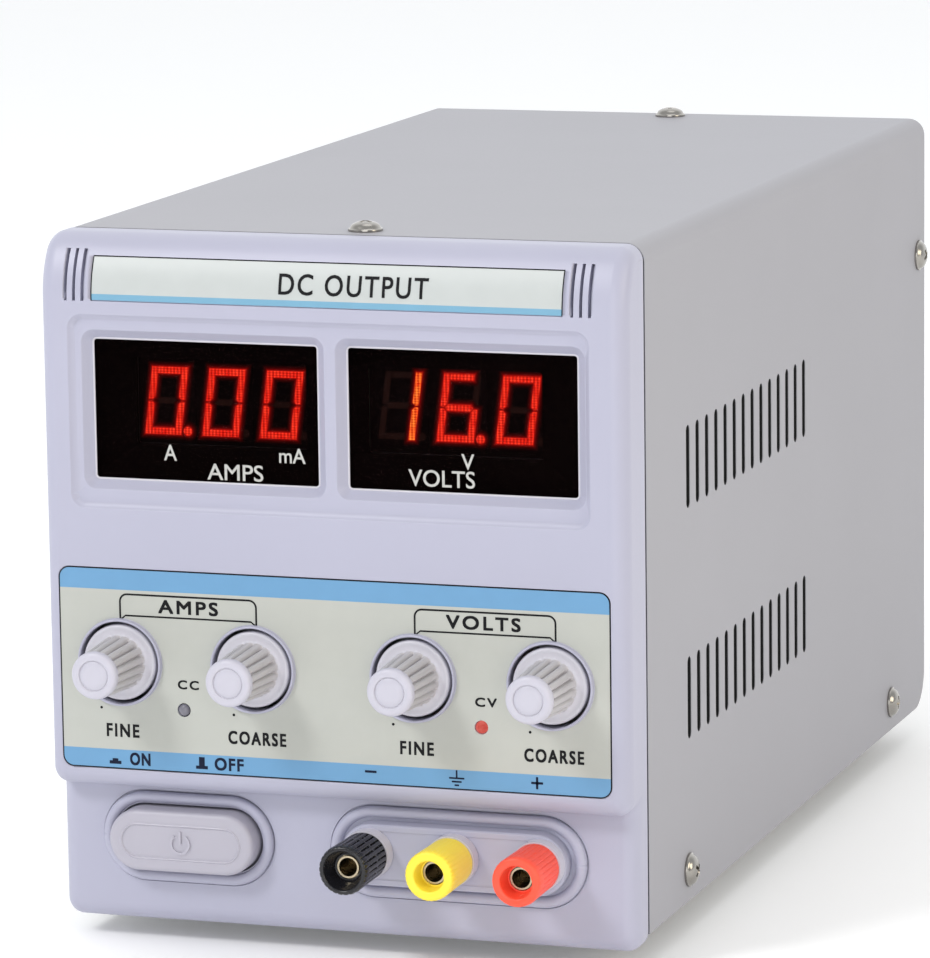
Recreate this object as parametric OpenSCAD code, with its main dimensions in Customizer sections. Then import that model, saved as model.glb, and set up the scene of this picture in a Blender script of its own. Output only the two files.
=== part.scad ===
// Bench power supply: a sheet-steel case with a moulded front bezel, two three-digit displays,
// four control knobs, a latching mains button and three binding posts.
// Lengths are millimetres. X runs to the right, Y to the rear and Z up. The origin lies on the
// surface the feet stand on, under the middle of the whole outline.

/* [Case] */
// Width over the sides of the cover
case_w = 130; // [126:1:140]
// Height from the bezel's bottom edge to the top of the cover
case_h = 149.6; // [149:0.2:154]
// Depth from the bezel's front face to the rear edge of the cover
case_d = 255; // [250:1:275]
// Thickness of the cover's steel sheet
cover_t = 1; // [0.8:0.1:1]
// Thickness of the chassis steel sheet
chassis_t = 1.2; // [1:0.1:1.2]
// Outer radius of the cover's two long bends
cover_bend_r = 4; // [3:0.5:5]
// Height of the cover's bottom edge above the bezel's bottom edge
cover_lift = 2.8; // [2.5:0.1:3.5]
// Height of the feet below the bezel's bottom edge
foot_drop = 4; // [3:0.5:6]

/* [Bezel] */
// Depth of the bezel, from its front face to the seam with the cover
bezel_d = 14; // [14:0.5:15]
// Rounding of the bezel's upright edges
bezel_side_r = 3.6; // [2:0.2:3.6]
// Height at which the front face steps back
step_z = 30.5; // [30:0.5:31]
// Depth of that step
step_d = 6; // [5.5:0.5:6]
// Height at which the brow begins to curve back
brow_z = 136; // [135.6:0.2:136]
// Radius of the brow's long lower curve
brow_r = 19; // [18:0.5:20]
// Radius of the brow's short upper curve
brow_top_r = 7; // [6:0.5:8]

/* [Displays] */
// Width of one display window
window_w = 50.5; // [48:0.5:51]
// Height of one display window
window_h = 30.1; // [28:0.5:31]
// Distance of a window's centre from the middle of the bezel
window_x = 28.55; // [28.5:0.05:28.7]
// Height of the windows' centres
window_z = 112.4; // [112:0.1:113]
// Distance of a digit block's centre from the middle of the bezel
digits_x = 26; // [25:0.5:27]
// Height of the digit blocks' centres
digits_z = 114.2; // [113:0.1:115]

/* [Controls] */
// Distance of the inner knobs from the middle
knob_inner_x = 17.9; // [17:0.1:19]
// Distance of the outer knobs from the middle
knob_outer_x = 48.1; // [47:0.1:49]
// Height of the knobs' axes
knob_z = 58.2; // [57:0.1:59]
// Diameter of a knob's skirt
knob_skirt_d = 16.4; // [15:0.1:16.6]
// Reach of a knob in front of the bezel's face
knob_reach = 15.5; // [15.2:0.1:18]
// Ridges round a knob's grip
knob_ridges = 22; // [18:1:26]
// Width of the power button
button_w = 33; // [30:0.2:33]
// Height of the power button
button_h = 13.4; // [12.6:0.1:13.4]
// Travel of the power button
button_travel = 3.5; // [2:0.1:3.5]

/* [Binding posts] */
// Distance between neighbouring posts
post_pitch = 19.05; // [19:0.05:19.1]
// Sideways place of the middle post
post_x = 25.75; // [25.5:0.05:26]
// Height of the posts' axes
post_z = 19.5; // [19:0.1:19.8]
// Bore of the plug socket in each post
socket_d = 4; // [4:0.1:4.2]
// Depth of the plug socket
socket_l = 20; // [16:0.5:22]
// Travel of a cap from clamped to open
cap_travel = 5; // [3:0.5:5]

/* [Rear] */
// Reach of the heat sink's fins behind the cover
fin_reach = 16.5; // [12:0.5:20]
// Number of heat sink fins
fin_count = 11; // [7:1:13]

/* [Vents] */
// Slots in each row
vent_count = 14; // [8:1:16]
// Distance between neighbouring slots
vent_pitch = 7.3; // [6:0.1:7.5]
// Width of a slot
vent_w = 2.8; // [1.5:0.1:3]
// Height of a slot
vent_h = 18; // [14:0.5:20]
// Distance from the bezel's front face to the first slot
vent_y = 45; // [40:1:50]

/* [Hidden] */
$fn = 48;

KNOBS = ["current_fine", "current_coarse", "voltage_fine", "voltage_coarse"];
POSTS = ["negative", "ground", "positive"];

// Small allowances
eps = 0.01;
cut = 1;

// Colours
bezel_colour = [0.80, 0.80, 0.89];
cover_colour = [0.73, 0.72, 0.71];
steel_colour = [0.70, 0.71, 0.73];
brass_colour = [0.78, 0.66, 0.36];
board_colour = [0.10, 0.36, 0.22];
black_colour = [0.09, 0.09, 0.10];
white_colour = [0.92, 0.92, 0.90];

// The case is drawn from the bezel's bottom front edge and then moved onto the origin
mid_y = (case_d + fin_reach - knob_reach) / 2;
half_w = case_w / 2;
bezel_wall = 3.35;
bezel_skin = 2.6;
brow_angle = asin((case_h - brow_z - brow_top_r) / (brow_r - brow_top_r));
brow_top_y = brow_r - (brow_r - brow_top_r) * cos(brow_angle);
lower_edge_r = 3.8;
bottom_edge_r = 4;

// Front panel: the steel sheet behind the bezel
panel_y = bezel_d;
panel_back = panel_y + chassis_t;
inner_x = half_w - cover_t - 0.2;
roof_z = case_h - cover_t;
floor_z = cover_lift + chassis_t;
rear_y = case_d - 1;
rear_inner = rear_y - chassis_t;
rear_bend_r = 9;

// Display
pocket_x = -0.7;
pocket_w = 115.6;
pocket_h = 41.6;
pocket_z = 112.1;
pocket_slope = 1.25;
window_slope = 2.1;
digit_w = 13;
digit_h = 19;
digit_d = 8;
digit_face_y = 7.5;
board_t = 1.6;

// Controls
knob_x = [-knob_outer_x, -knob_inner_x, knob_inner_x, knob_outer_x];
well_r = 8.9;
lip_r = 9.45;
lip_h = 1;
shaft_r = 3;
running = 0.05;
button_x = -35.6;
button_z = 19.2;
button_face_y = 0.5;
button_flange_y = 12.2;
button_flange_t = 1.2;
button_hole = [33.8, 14.2];
button_ridge = [38.8, 19.6];
button_outline = [27.4, 6.8];
led_x = [-33.8, 32.8];
led_z = 48.5;
led_r = 1.35;
label_x = -0.3;
label_w = 122.8;
label_z0 = 35;
label_h = 43.4;
label_t = 0.3;
brow_x = -0.7;
strip_w = 104;
strip_z1 = 145;
slot_x = [54.2, 56.1, 58];
slot_w = 0.75;
slot_d = 1.3;
boss_x = 57;
boss_z = [10, 86];

// Posts
post_places = [for (i = [-1:1]) post_x + i * post_pitch];
plate_x = 25.4;
plate_y = 2;
plate_z = 19;
plate_size = [50, 13.4];
plate_ridge = [57, 19.8];
cap_front_y = -15;
cap_back_y = -1.3;
stud_r = 3;
stud_front_y = -11.2;
nose_r = 2.4;
nose_l = 1.9;
stud_back_y = 27;
insert_r = 4;
insert_l = 7.8;
cap_floor_r = 2.7;
cap_floor_t = 1.5;
mouth_r = 3.5;

// Screws of the cover: [distance from the front, height] on the sides, distance on the top
side_screws = [[43.9, 9.7], [220.9, 9.8], [248.7, 116.6]];
top_screws = [21, 249];
top_screw_x = 1.5;
screw_r = 1.5;
screw_hole_r = 1.7;
head_r = 3.7;
head_h = 2.2;

// Inside
core_w = 86;
core_h = 72;
core_d = 45;
core_y = 190;
core_leg = 14.3;
coil_wall = 13.9;
board_y = [52, 140];
board_x = 52;
board_z = 14;
standoff_r = 3;
board_places = [for (sx = [-1, 1]) for (y = board_y) [sx * (board_x - 5), y < 90 ? y + 5 : y - 5]];
foot_places = [for (sx = [-1, 1]) for (y = [48, 222]) [sx * 44, y]];

// Rear
inlet_place = [-38, 44];
fuse_place = [-38, 84];
selector_place = [-38, 116];
selector_travel = 5;
sink_x = [-4, 56];
sink_z = [28, 132];
sink_base_t = 4;
fin_t = 1.8;
transistor_z = [62, 98];

function arc(centre, r, from, to, n) =
    [for (i = [0:n]) let (a = from + (to - from) * i / n) centre + r * [cos(a), sin(a)]];

module at_case() translate([0, -mid_y, foot_drop]) children();

// Children are drawn in the XZ plane at depth y and grow towards the viewer
module front(x, y, z) translate([x, y, z]) rotate([90, 0, 0]) children();

// Children are drawn with their 2D x along Y and their 2D y along Z, and grow along X
module across(x) translate([x, 0, 0]) rotate([90, 0, 90]) children();

module stadium(w, h) {
    square([w - h, h], center = true);
    for (side = [-1, 1]) translate([side * (w - h) / 2, 0]) circle(r = h / 2);
}

module round_rect(w, h, r) {
    square([w - 2 * r, h], center = true);
    square([w, h - 2 * r], center = true);
    for (sx = [-1, 1]) for (sz = [-1, 1])
        translate([sx * (w / 2 - r), sz * (h / 2 - r)]) circle(r = r, $fn = 32);
}

module tube(outer, inner, length) {
    difference() {
        cylinder(r = outer, h = length);
        translate([0, 0, -cut]) cylinder(r = inner, h = length + 2 * cut);
    }
}

module pan_screw(length) {
    translate([0, 0, -length]) cylinder(r = screw_r, h = length);
    difference() {
        rotate_extrude() polygon(concat([[0, 0], [head_r, 0]],
            arc([head_r - 1.6, 0.6], 1.6, 0, 75, 8), [[0, head_h]]));
        for (a = [45, 135]) rotate([0, 0, a]) translate([-2.1, -0.45, head_h - 1.3])
            cube([4.2, 0.9, 2]);
    }
}

// ---- Bezel ----

upper_profile = concat(
    [[bezel_d, case_h]],
    arc([brow_top_y, case_h - brow_top_r], brow_top_r, 90, 180 - brow_angle, 6),
    arc([brow_r, brow_z], brow_r, 180 - brow_angle, 180, 8),
    arc([lower_edge_r, step_z + lower_edge_r], lower_edge_r, 180, 270, 6),
    [[bezel_d, step_z]]);

lower_profile = concat(
    [[bezel_d, step_z + cut], [step_d, step_z + cut]],
    arc([step_d + bottom_edge_r, bottom_edge_r], bottom_edge_r, 180, 270, 6),
    [[bezel_d, 0]]);

// The bezel seen from above, with its upright front edges rounded
module bezel_plan(front_y) {
    r = bezel_side_r;
    polygon(concat([[half_w, bezel_d], [-half_w, bezel_d]],
        arc([r - half_w, front_y + r], r, 180, 270, 8),
        arc([half_w - r, front_y + r], r, 270, 360, 8)));
}

// The bezel seen from the front, with its corners rounded
module bezel_outline() {
    r = bezel_side_r;
    polygon(concat(arc([half_w - r, case_h - r], r, 0, 90, 8),
        arc([r - half_w, case_h - r], r, 90, 180, 8),
        arc([r - half_w, r], r, 180, 270, 8), arc([half_w - r, r], r, 270, 360, 8)));
}

module bezel_block(profile, front_y) {
    intersection() {
        across(0) linear_extrude(case_w, center = true) polygon(profile);
        linear_extrude(case_h) bezel_plan(front_y);
        front(0, bezel_d, 0) linear_extrude(bezel_d) bezel_outline();
    }
}

module bezel_hollow() {
    inner_w = case_w - 2 * bezel_skin;
    translate([-inner_w / 2, bezel_wall, step_z + bezel_skin])
        cube([inner_w, bezel_d, brow_z - step_z - bezel_skin - 2]);
    translate([-inner_w / 2, 9, brow_z - 3])
        cube([inner_w, bezel_d, case_h - brow_z - bezel_skin + 3]);
    translate([-inner_w / 2, step_d + bezel_skin, bezel_skin])
        cube([inner_w, bezel_d, step_z + cut]);
}

// A pocket whose walls slope in at 45 degrees, from outer_w by outer_h down to depth y1
module sloped_pocket(x, z, outer_w, outer_h, r, y0, y1, slope) {
    hull() {
        front(x, y0, z) linear_extrude(eps, center = true) round_rect(outer_w, outer_h, r);
        front(x, y1, z) linear_extrude(eps, center = true)
            round_rect(outer_w - 2 * slope, outer_h - 2 * slope, r - slope / 2);
    }
}

module display_pockets() {
    sloped_pocket(pocket_x, pocket_z, pocket_w, pocket_h, 3.3, 0, pocket_slope, pocket_slope);
    for (side = [-1, 1])
        sloped_pocket(side * window_x, window_z, window_w + 2 * window_slope,
            window_h + 2 * window_slope, 2, pocket_slope, bezel_wall, window_slope);
}

// The part of the brow's skin between two depths and two heights
module brow_band(width, depth, z0, z1) {
    intersection() {
        translate([0, brow_r, brow_z]) rotate([0, 90, 0]) difference() {
            cylinder(r = brow_r + 1, h = width, center = true, $fn = 96);
            cylinder(r = brow_r - depth, h = width + 2 * cut, center = true, $fn = 96);
        }
        translate([-width / 2, -cut, z0]) cube([width, brow_r, z1 - z0]);
    }
}

module ridge_section(t, h) {
    translate([-t / 2, -1]) square([t, h - t / 2 + 1]);
    translate([0, h - t / 2]) circle(r = t / 2, $fn = 32);
}

// A rounded ridge that follows a stadium of outer size w by h
module stadium_ridge(w, h, t, ridge_h) {
    mid_r = h / 2 - t / 2;
    for (side = [-1, 1]) {
        translate([side * (w - h) / 2, 0, 0]) rotate([0, 0, -90 * side])
            rotate_extrude(angle = 180) translate([mid_r, 0]) intersection() {
                ridge_section(t, ridge_h);
                translate([-t, -1]) square([2 * t, ridge_h + 2]);
            }
        translate([-(w - h) / 2, side * mid_r, 0]) rotate([90, 0, 90])
            linear_extrude(w - h) ridge_section(t, ridge_h);
    }
}

module front_bezel() at_case() color(bezel_colour) difference() {
    union() {
        difference() {
            union() {
                bezel_block(upper_profile, 0);
                bezel_block(lower_profile, step_d);
            }
            bezel_hollow();
        }
        front(button_x, step_d, button_z) stadium_ridge(button_ridge.x, button_ridge.y, 2.3, 1.6);
        front(plate_x, step_d, plate_z) stadium_ridge(plate_ridge.x, plate_ridge.y, 2.4, 1.6);
        front(plate_x, step_d + cut, plate_z) linear_extrude(step_d + cut - plate_y)
            stadium(plate_size.x, plate_size.y);
        for (x = knob_x) front(x, bezel_wall - cut, knob_z)
            cylinder(r = lip_r, h = bezel_wall - cut + lip_h);
        for (side = [-1, 1]) for (z = boss_z) front(side * boss_x, bezel_d, z)
            cylinder(r = 3.5, h = bezel_d - (z < step_z ? step_d : 0) - 1.5);
    }
    display_pockets();
    front(label_x, label_t + 0.05, label_z0 + label_h / 2) difference() {
        linear_extrude(label_t + cut) round_rect(label_w + 0.5, label_h + 0.5, 2.5);
        for (x = knob_x) translate([x - label_x, knob_z - label_z0 - label_h / 2, -cut])
            cylinder(r = lip_r, h = 3);
    }
    translate([brow_x, 0, 0])
        brow_band(strip_w + 0.4, label_t + 0.05, brow_z - 0.2, strip_z1 + 0.2);
    for (side = [-1, 1]) for (x = slot_x) translate([brow_x + side * x, 0, 0])
        brow_band(slot_w, slot_d, brow_z - 0.2, strip_z1 + 1.2);
    for (x = knob_x) front(x, bezel_d + cut, knob_z) cylinder(r = well_r, h = bezel_d + 3);
    for (x = led_x) front(x, bezel_wall + cut, led_z) cylinder(r = led_r + 0.1, h = 8);
    front(button_x, bezel_d, button_z) linear_extrude(bezel_d)
        stadium(button_hole.x, button_hole.y);
    for (x = post_places) front(x, bezel_d, post_z) cylinder(r = 4, h = bezel_d + 3);
    for (side = [-1, 1]) for (z = boss_z) front(side * boss_x, bezel_d + cut, z)
        cylinder(r = screw_r, h = z < step_z ? 6 : 10);
}

module label_holes() {
    for (x = knob_x) translate([x - label_x, knob_z - label_z0 - label_h / 2])
        circle(r = lip_r + 0.1);
    for (x = led_x) translate([x - label_x, led_z - label_z0 - label_h / 2]) circle(r = led_r + 0.15);
}

module control_label() at_case() color([0.78, 0.80, 0.77])
    front(label_x, label_t + 0.05, label_z0 + label_h / 2) linear_extrude(label_t) difference() {
        round_rect(label_w, label_h, 2.3);
        label_holes();
    }

module title_strip() at_case() color([0.84, 0.87, 0.86]) intersection() {
    translate([0, brow_r, brow_z]) rotate([0, 90, 0]) difference() {
        cylinder(r = brow_r - 0.05, h = strip_w + 2, center = true, $fn = 96);
        cylinder(r = brow_r - label_t - 0.05, h = strip_w + 4, center = true, $fn = 96);
    }
    translate([brow_x - strip_w / 2, -cut, brow_z]) cube([strip_w, brow_r, strip_z1 - brow_z]);
}

module window_pane(side) {
    front(side * window_x, bezel_wall + 2, window_z)
        linear_extrude(2) round_rect(window_w + 5, window_h + 5, 1.5);
}

module window_current() at_case() color([0.05, 0.03, 0.03]) window_pane(-1);
module window_voltage() at_case() color([0.05, 0.03, 0.03]) window_pane(1);

// ---- Steel ----

// The cover's section, filled out to its outer skin when grow is zero
module cover_fill(shrink) {
    w = case_w - 2 * shrink;
    r = cover_bend_r - shrink;
    translate([-w / 2, cover_lift - (shrink > 0 ? cut : 0)])
        square([w, case_h - r - shrink - cover_lift + (shrink > 0 ? cut : 0)]);
    translate([-w / 2 + r, case_h - r - shrink - cut]) square([w - 2 * r, r + cut]);
    for (side = [-1, 1]) translate([side * (w / 2 - r), case_h - shrink - r])
        circle(r = r);
}

module vent_slots() {
    for (z = [97.7, 47.4]) for (i = [0:vent_count - 1])
        translate([0, vent_y + i * vent_pitch, z]) across(0)
            linear_extrude(case_w + 2, center = true) rotate(90) stadium(vent_h, vent_w);
}

module cover() at_case() color(cover_colour) difference() {
    translate([0, case_d, 0]) rotate([90, 0, 0]) linear_extrude(case_d - bezel_d)
        difference() {
            cover_fill(0);
            cover_fill(cover_t);
        }
    vent_slots();
    across(0) linear_extrude(case_w + 2, center = true) difference() {
        translate([case_d - rear_bend_r, cover_lift - cut])
            square([rear_bend_r + cut, rear_bend_r + cut]);
        translate([case_d - rear_bend_r, cover_lift + rear_bend_r]) circle(r = rear_bend_r);
    }
    for (s = side_screws) translate([0, s[0], s[1]]) rotate([0, 90, 0])
        cylinder(r = screw_hole_r + 0.2, h = case_w + 2, center = true);
    for (y = top_screws) translate([top_screw_x, y, case_h - 5]) cylinder(r = screw_hole_r + 0.2, h = 8);
}

// The bent sheet of the chassis in side view: floor, rear bend and rear wall
module chassis_section() {
    bend_y = rear_y - rear_bend_r;
    bend_z = cover_lift + rear_bend_r;
    translate([panel_y, cover_lift]) square([bend_y - panel_y, chassis_t]);
    translate([rear_inner, bend_z]) square([chassis_t, roof_z - bend_z]);
    difference() {
        intersection() {
            translate([bend_y, bend_z]) circle(r = rear_bend_r);
            translate([bend_y, cover_lift - cut]) square([rear_bend_r + cut, rear_bend_r + cut]);
        }
        translate([bend_y, bend_z]) circle(r = rear_bend_r - chassis_t);
    }
}

// The room inside the cover, which the steel parts are trimmed to
module cover_room() {
    translate([0, case_d, 0]) rotate([90, 0, 0]) linear_extrude(case_d)
        cover_fill(cover_t + 0.1);
}

module chassis() at_case() color(steel_colour) difference() {
    intersection() {
        chassis_sheets();
        cover_room();
    }
    chassis_holes();
}

module chassis_sheets() {
    across(0) linear_extrude(2 * inner_x, center = true) chassis_section();
    for (side = [-1, 1]) {
        x = side > 0 ? inner_x - chassis_t : -inner_x;
        translate([x, panel_back + 1, floor_z - eps]) cube([chassis_t, 222, 15]);
        translate([x, rear_inner - 12, 22]) cube([chassis_t, 12 + eps, roof_z - 26]);
    }
    translate([-55, rear_inner - 12, roof_z - chassis_t]) cube([110, 12 + eps, chassis_t]);
}

module chassis_holes() {
    for (s = side_screws) translate([0, s[0], s[1]]) rotate([0, 90, 0])
        cylinder(r = screw_hole_r, h = case_w, center = true);
    translate([top_screw_x, top_screws[1], roof_z - 5]) cylinder(r = screw_hole_r, h = 8);
    for (p = foot_places) translate([p[0], p[1], 0]) cylinder(r = 2, h = 8);
    for (p = board_places) translate([p[0], p[1], 0]) cylinder(r = 1.6, h = 8);
    for (side = [-1, 1]) translate([side * 52, core_y, 0]) cylinder(r = 2.2, h = 8);
    front(inlet_place[0], rear_y + cut, inlet_place[1]) linear_extrude(4)
        square([27.4, 20.4], center = true);
    front(fuse_place[0], rear_y + cut, fuse_place[1]) cylinder(r = 6.2, h = 4);
    front(selector_place[0], rear_y + cut, selector_place[1]) linear_extrude(4)
        square([17, 7], center = true);
    for (z = transistor_z) front(26, rear_y + cut, z + 4) cylinder(r = 1.6, h = 4);
}

module front_panel() at_case() color(steel_colour) difference() {
    intersection() {
        panel_sheets();
        cover_room();
    }
    panel_holes();
}

module panel_sheets() {
    translate([-inner_x, panel_y, floor_z]) cube([2 * inner_x, chassis_t, roof_z - floor_z]);
    translate([-50, panel_back - eps, roof_z - chassis_t]) cube([100, 10, chassis_t]);
    translate([-50, panel_back - eps, floor_z]) cube([100, 10, chassis_t]);
}

module panel_holes() {
    translate([top_screw_x, top_screws[0], roof_z - 5]) cylinder(r = screw_hole_r, h = 8);
    front(0, panel_back + cut, digits_z) linear_extrude(4)
        square([2 * (digits_x + 1.5 * digit_w) + 4, digit_h + 2], center = true);
    for (x = knob_x) front(x, panel_back + cut, knob_z) cylinder(r = 3.6, h = 4);
    for (x = led_x) front(x, panel_back + cut, led_z) cylinder(r = 2, h = 4);
    front(button_x, panel_back + cut, button_z) linear_extrude(4) square(7, center = true);
    for (x = post_places) front(x, panel_back + cut, post_z) cylinder(r = 4, h = 4);
    for (side = [-1, 1]) for (z = boss_z) front(side * boss_x, panel_back + cut, z)
        cylinder(r = screw_hole_r, h = 4);
}

// ---- Feet and screws ----

module rubber_feet() at_case() color(black_colour)
    for (p = foot_places) translate([p[0], p[1], -foot_drop]) difference() {
        union() {
            cylinder(r1 = 6.4, r2 = 7, h = 2);
            translate([0, 0, 2]) cylinder(r = 7, h = foot_drop + cover_lift - 2);
        }
        translate([0, 0, -cut]) cylinder(r = 4, h = 3 + cut);
        cylinder(r = 1.9, h = 20);
    }

module foot_screws() at_case() color(steel_colour)
    for (p = foot_places) translate([p[0], p[1], 3 - foot_drop]) {
        translate([0, 0, -1.8]) cylinder(r = 3.2, h = 1.8);
        cylinder(r = 1.8, h = foot_drop + cover_lift + chassis_t + 2);
    }

module cover_screws() at_case() color(steel_colour) {
    for (s = side_screws) for (side = [-1, 1]) translate([side * half_w, s[0], s[1]])
        rotate([0, side * 90, 0]) pan_screw(6);
    for (y = top_screws) translate([top_screw_x, y, case_h]) pan_screw(6);
}

module bezel_screws() at_case() color(steel_colour)
    for (side = [-1, 1]) for (z = boss_z) front(side * boss_x, panel_back, z) {
        cylinder(r = screw_r - 0.1, h = z < step_z ? 5 : 8);
        translate([0, 0, -1.8]) cylinder(r = 2.8, h = 1.8);
    }

// ---- Knobs and potentiometers ----

// Outline of the ribbed grip: each ridge is a shallow bump between two flats
function ribbed(r, depth, n) = [for (i = [0:n - 1]) for (j = [0:3])
    let (a = 360 * (i + j / 4) / n, q = j == 0 ? r : j == 2 ? r - depth : r - depth / 4)
    q * [cos(a), sin(a)]];

module flatted(r, h, flat) {
    intersection() {
        cylinder(r = r, h = h);
        translate([-r - cut, -r - cut, -cut]) cube([2 * r + 2 * cut, r + cut + flat, h + 2 * cut]);
    }
}

module knob(x) at_case() color(bezel_colour) front(x, 0, knob_z) difference() {
    union() {
        translate([0, 0, -1.6]) cylinder(r = knob_skirt_d / 2, h = 1.8);
        translate([0, 0, 0.2 - eps])
            cylinder(r1 = knob_skirt_d / 2, r2 = knob_skirt_d / 2 - 0.5, h = 0.5);
        linear_extrude(knob_reach - 1) polygon(ribbed(5.4, 0.35, knob_ridges));
        translate([0, 0, knob_reach - 1 - eps]) cylinder(r1 = 5.1, r2 = 4.6, h = 1 + eps);
        translate([0, 0, -8]) cylinder(r = 5.4, h = 8);
    }
    translate([0, 0, -8 - cut]) flatted(shaft_r + running, 19 + cut, 1.6);
    translate([0, 0, knob_reach - 0.3]) tube(3.3, 2.9, 1);
}

module knob_current_fine() knob(knob_x[0]);
module knob_current_coarse() knob(knob_x[1]);
module knob_voltage_fine() knob(knob_x[2]);
module knob_voltage_coarse() knob(knob_x[3]);

module pot_shaft(x) at_case() color(steel_colour) front(x, 0, knob_z) {
    translate([0, 0, -22]) cylinder(r = shaft_r, h = 13);
    translate([0, 0, -9 - eps]) flatted(shaft_r, 19.5, 1.5);
}

module shaft_current_fine() pot_shaft(knob_x[0]);
module shaft_current_coarse() pot_shaft(knob_x[1]);
module shaft_voltage_fine() pot_shaft(knob_x[2]);
module shaft_voltage_coarse() pot_shaft(knob_x[3]);

module pot_body(x) at_case() color([0.45, 0.38, 0.28]) front(x, panel_back, knob_z)
    difference() {
        union() {
            translate([0, 0, -9]) cylinder(r = 8.2, h = 9);
            cylinder(r = 3.5, h = 6.2);
            for (i = [-1:1]) translate([i * 5 - 0.6, -14, -6]) cube([1.2, 8, 0.6]);
        }
        translate([0, 0, -7.2]) cylinder(r = shaft_r + running, h = 20);
    }

module pot_current_fine() pot_body(knob_x[0]);
module pot_current_coarse() pot_body(knob_x[1]);
module pot_voltage_fine() pot_body(knob_x[2]);
module pot_voltage_coarse() pot_body(knob_x[3]);

module pot_nuts() at_case() color(steel_colour)
    for (x = knob_x) front(x, panel_y, knob_z) difference() {
        cylinder(r = 5.8, h = 2.4, $fn = 6);
        translate([0, 0, -cut]) cylinder(r = 3.55, h = 5);
    }

// ---- Displays and indicators ----

module display_board() at_case() color(board_colour) difference() {
    front(0, panel_back + 0.3 + board_t, digits_z) linear_extrude(board_t)
        square([118, 40], center = true);
    for (side = [-1, 1]) for (z = [-16, 16])
        front(side * 54, panel_back + 4, digits_z + z) cylinder(r = 1.6, h = 8);
}

module digit_block(side) {
    front(side * digits_x, digit_face_y + digit_d, digits_z) for (i = [-1:1])
        translate([(i - 0.5) * digit_w + 0.05, -digit_h / 2, 0])
            cube([digit_w - 0.1, digit_h, digit_d]);
}

module digits_current() at_case() color([0.16, 0.16, 0.17]) digit_block(-1);
module digits_voltage() at_case() color([0.16, 0.16, 0.17]) digit_block(1);

module led(x, shade) at_case() color(shade) front(x, 0, led_z) {
    sphere(r = led_r, $fn = 24);
    translate([0, 0, -5]) cylinder(r = led_r, h = 5);
    translate([0, 0, -6]) cylinder(r = 1.9, h = 1);
    for (side = [-1, 1]) translate([side * 0.9 - 0.25, -0.25, -20]) cube([0.5, 0.5, 14 + eps]);
}

module led_constant_current() led(led_x[0], [0.45, 0.46, 0.48]);
module led_constant_voltage() led(led_x[1], [0.95, 0.30, 0.26]);

// ---- Power button and switch ----

module power_button() at_case() color(bezel_colour)
    front(button_x, button_flange_y + button_flange_t, button_z) difference() {
        union() {
            linear_extrude(button_flange_t) stadium(38, 19.8);
            linear_extrude(button_flange_y + button_flange_t - button_face_y - 1)
                stadium(button_w, button_h);
            linear_extrude(button_flange_y + button_flange_t - button_face_y)
                stadium(button_w - 2, button_h - 2);
            linear_extrude(button_flange_y + button_flange_t - button_face_y + 0.3)
                difference() {
                    stadium(button_outline.x, button_outline.y);
                    stadium(button_outline.x - 1, button_outline.y - 1);
                }
        }
        translate([0, 0, -cut]) linear_extrude(8) difference() {
            stadium(button_w - 5, button_h - 5);
            square(8, center = true);
        }
    }

module switch_plunger() at_case() color(white_colour)
    front(button_x, 23, button_z) linear_extrude(23 - button_flange_y - button_flange_t)
        square(5, center = true);

module power_switch() at_case() color(black_colour)
    front(button_x, 37, button_z) difference() {
        union() {
            linear_extrude(37 - panel_back) square([16, 14], center = true);
            for (sx = [-1, 1]) for (sz = [-1, 1]) translate([sx * 4.5 - 0.4, sz * 4 - 1.5, -6])
                cube([0.8, 3, 6 + eps]);
        }
        translate([0, 0, 12]) linear_extrude(20) square(5.8, center = true);
    }

// ---- Binding posts ----

module post_cap(x, shade) at_case() color(shade) front(x, cap_back_y, post_z) difference() {
    length = cap_back_y - cap_front_y;
    union() {
        cylinder(r1 = 5.2, r2 = 5.35, h = length - 0.8);
        translate([0, 0, length - 0.8]) cylinder(r1 = 5.35, r2 = 4.8, h = 0.8);
    }
    translate([0, 0, -cut]) cylinder(r = insert_r + running, h = insert_l + 0.4 + cut);
    cylinder(r = cap_floor_r, h = length);
    translate([0, 0, insert_l + 0.4 + cap_floor_t]) cylinder(r = mouth_r, h = length);
}

module post_cap_negative() post_cap(post_places[0], black_colour);
module post_cap_ground() post_cap(post_places[1], [0.97, 0.82, 0.25]);
module post_cap_positive() post_cap(post_places[2], [0.92, 0.28, 0.20]);

module post_insert(x) at_case() color(brass_colour) front(x, cap_back_y - 0.2, post_z)
    tube(insert_r, stud_r + running, insert_l);

module post_insert_negative() post_insert(post_places[0]);
module post_insert_ground() post_insert(post_places[1]);
module post_insert_positive() post_insert(post_places[2]);

module post_stud(x) at_case() color(brass_colour) front(x, stud_back_y, post_z) difference() {
    length = stud_back_y - stud_front_y;
    union() {
        cylinder(r = stud_r, h = length - nose_l);
        cylinder(r = nose_r, h = length);
    }
    translate([0, 0, length - socket_l]) cylinder(r = socket_d / 2, h = socket_l + cut);
}

module post_stud_negative() post_stud(post_places[0]);
module post_stud_ground() post_stud(post_places[1]);
module post_stud_positive() post_stud(post_places[2]);

module post_insulators() at_case() color(white_colour) for (x = post_places) {
    front(x, plate_y, post_z) tube(5.4, stud_r + 0.1, plate_y - cap_back_y - 0.1);
    front(x, panel_back, post_z) tube(3.8, stud_r + 0.1, panel_back - plate_y + eps);
    front(x, panel_back + 2, post_z) tube(6, stud_r + 0.1, 2);
}

module post_nuts() at_case() color(brass_colour)
    for (x = post_places) front(x, panel_back + 4.6, post_z) difference() {
        cylinder(r = 5.8, h = 2.6, $fn = 6);
        translate([0, 0, -cut]) cylinder(r = stud_r + running, h = 6);
    }

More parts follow.
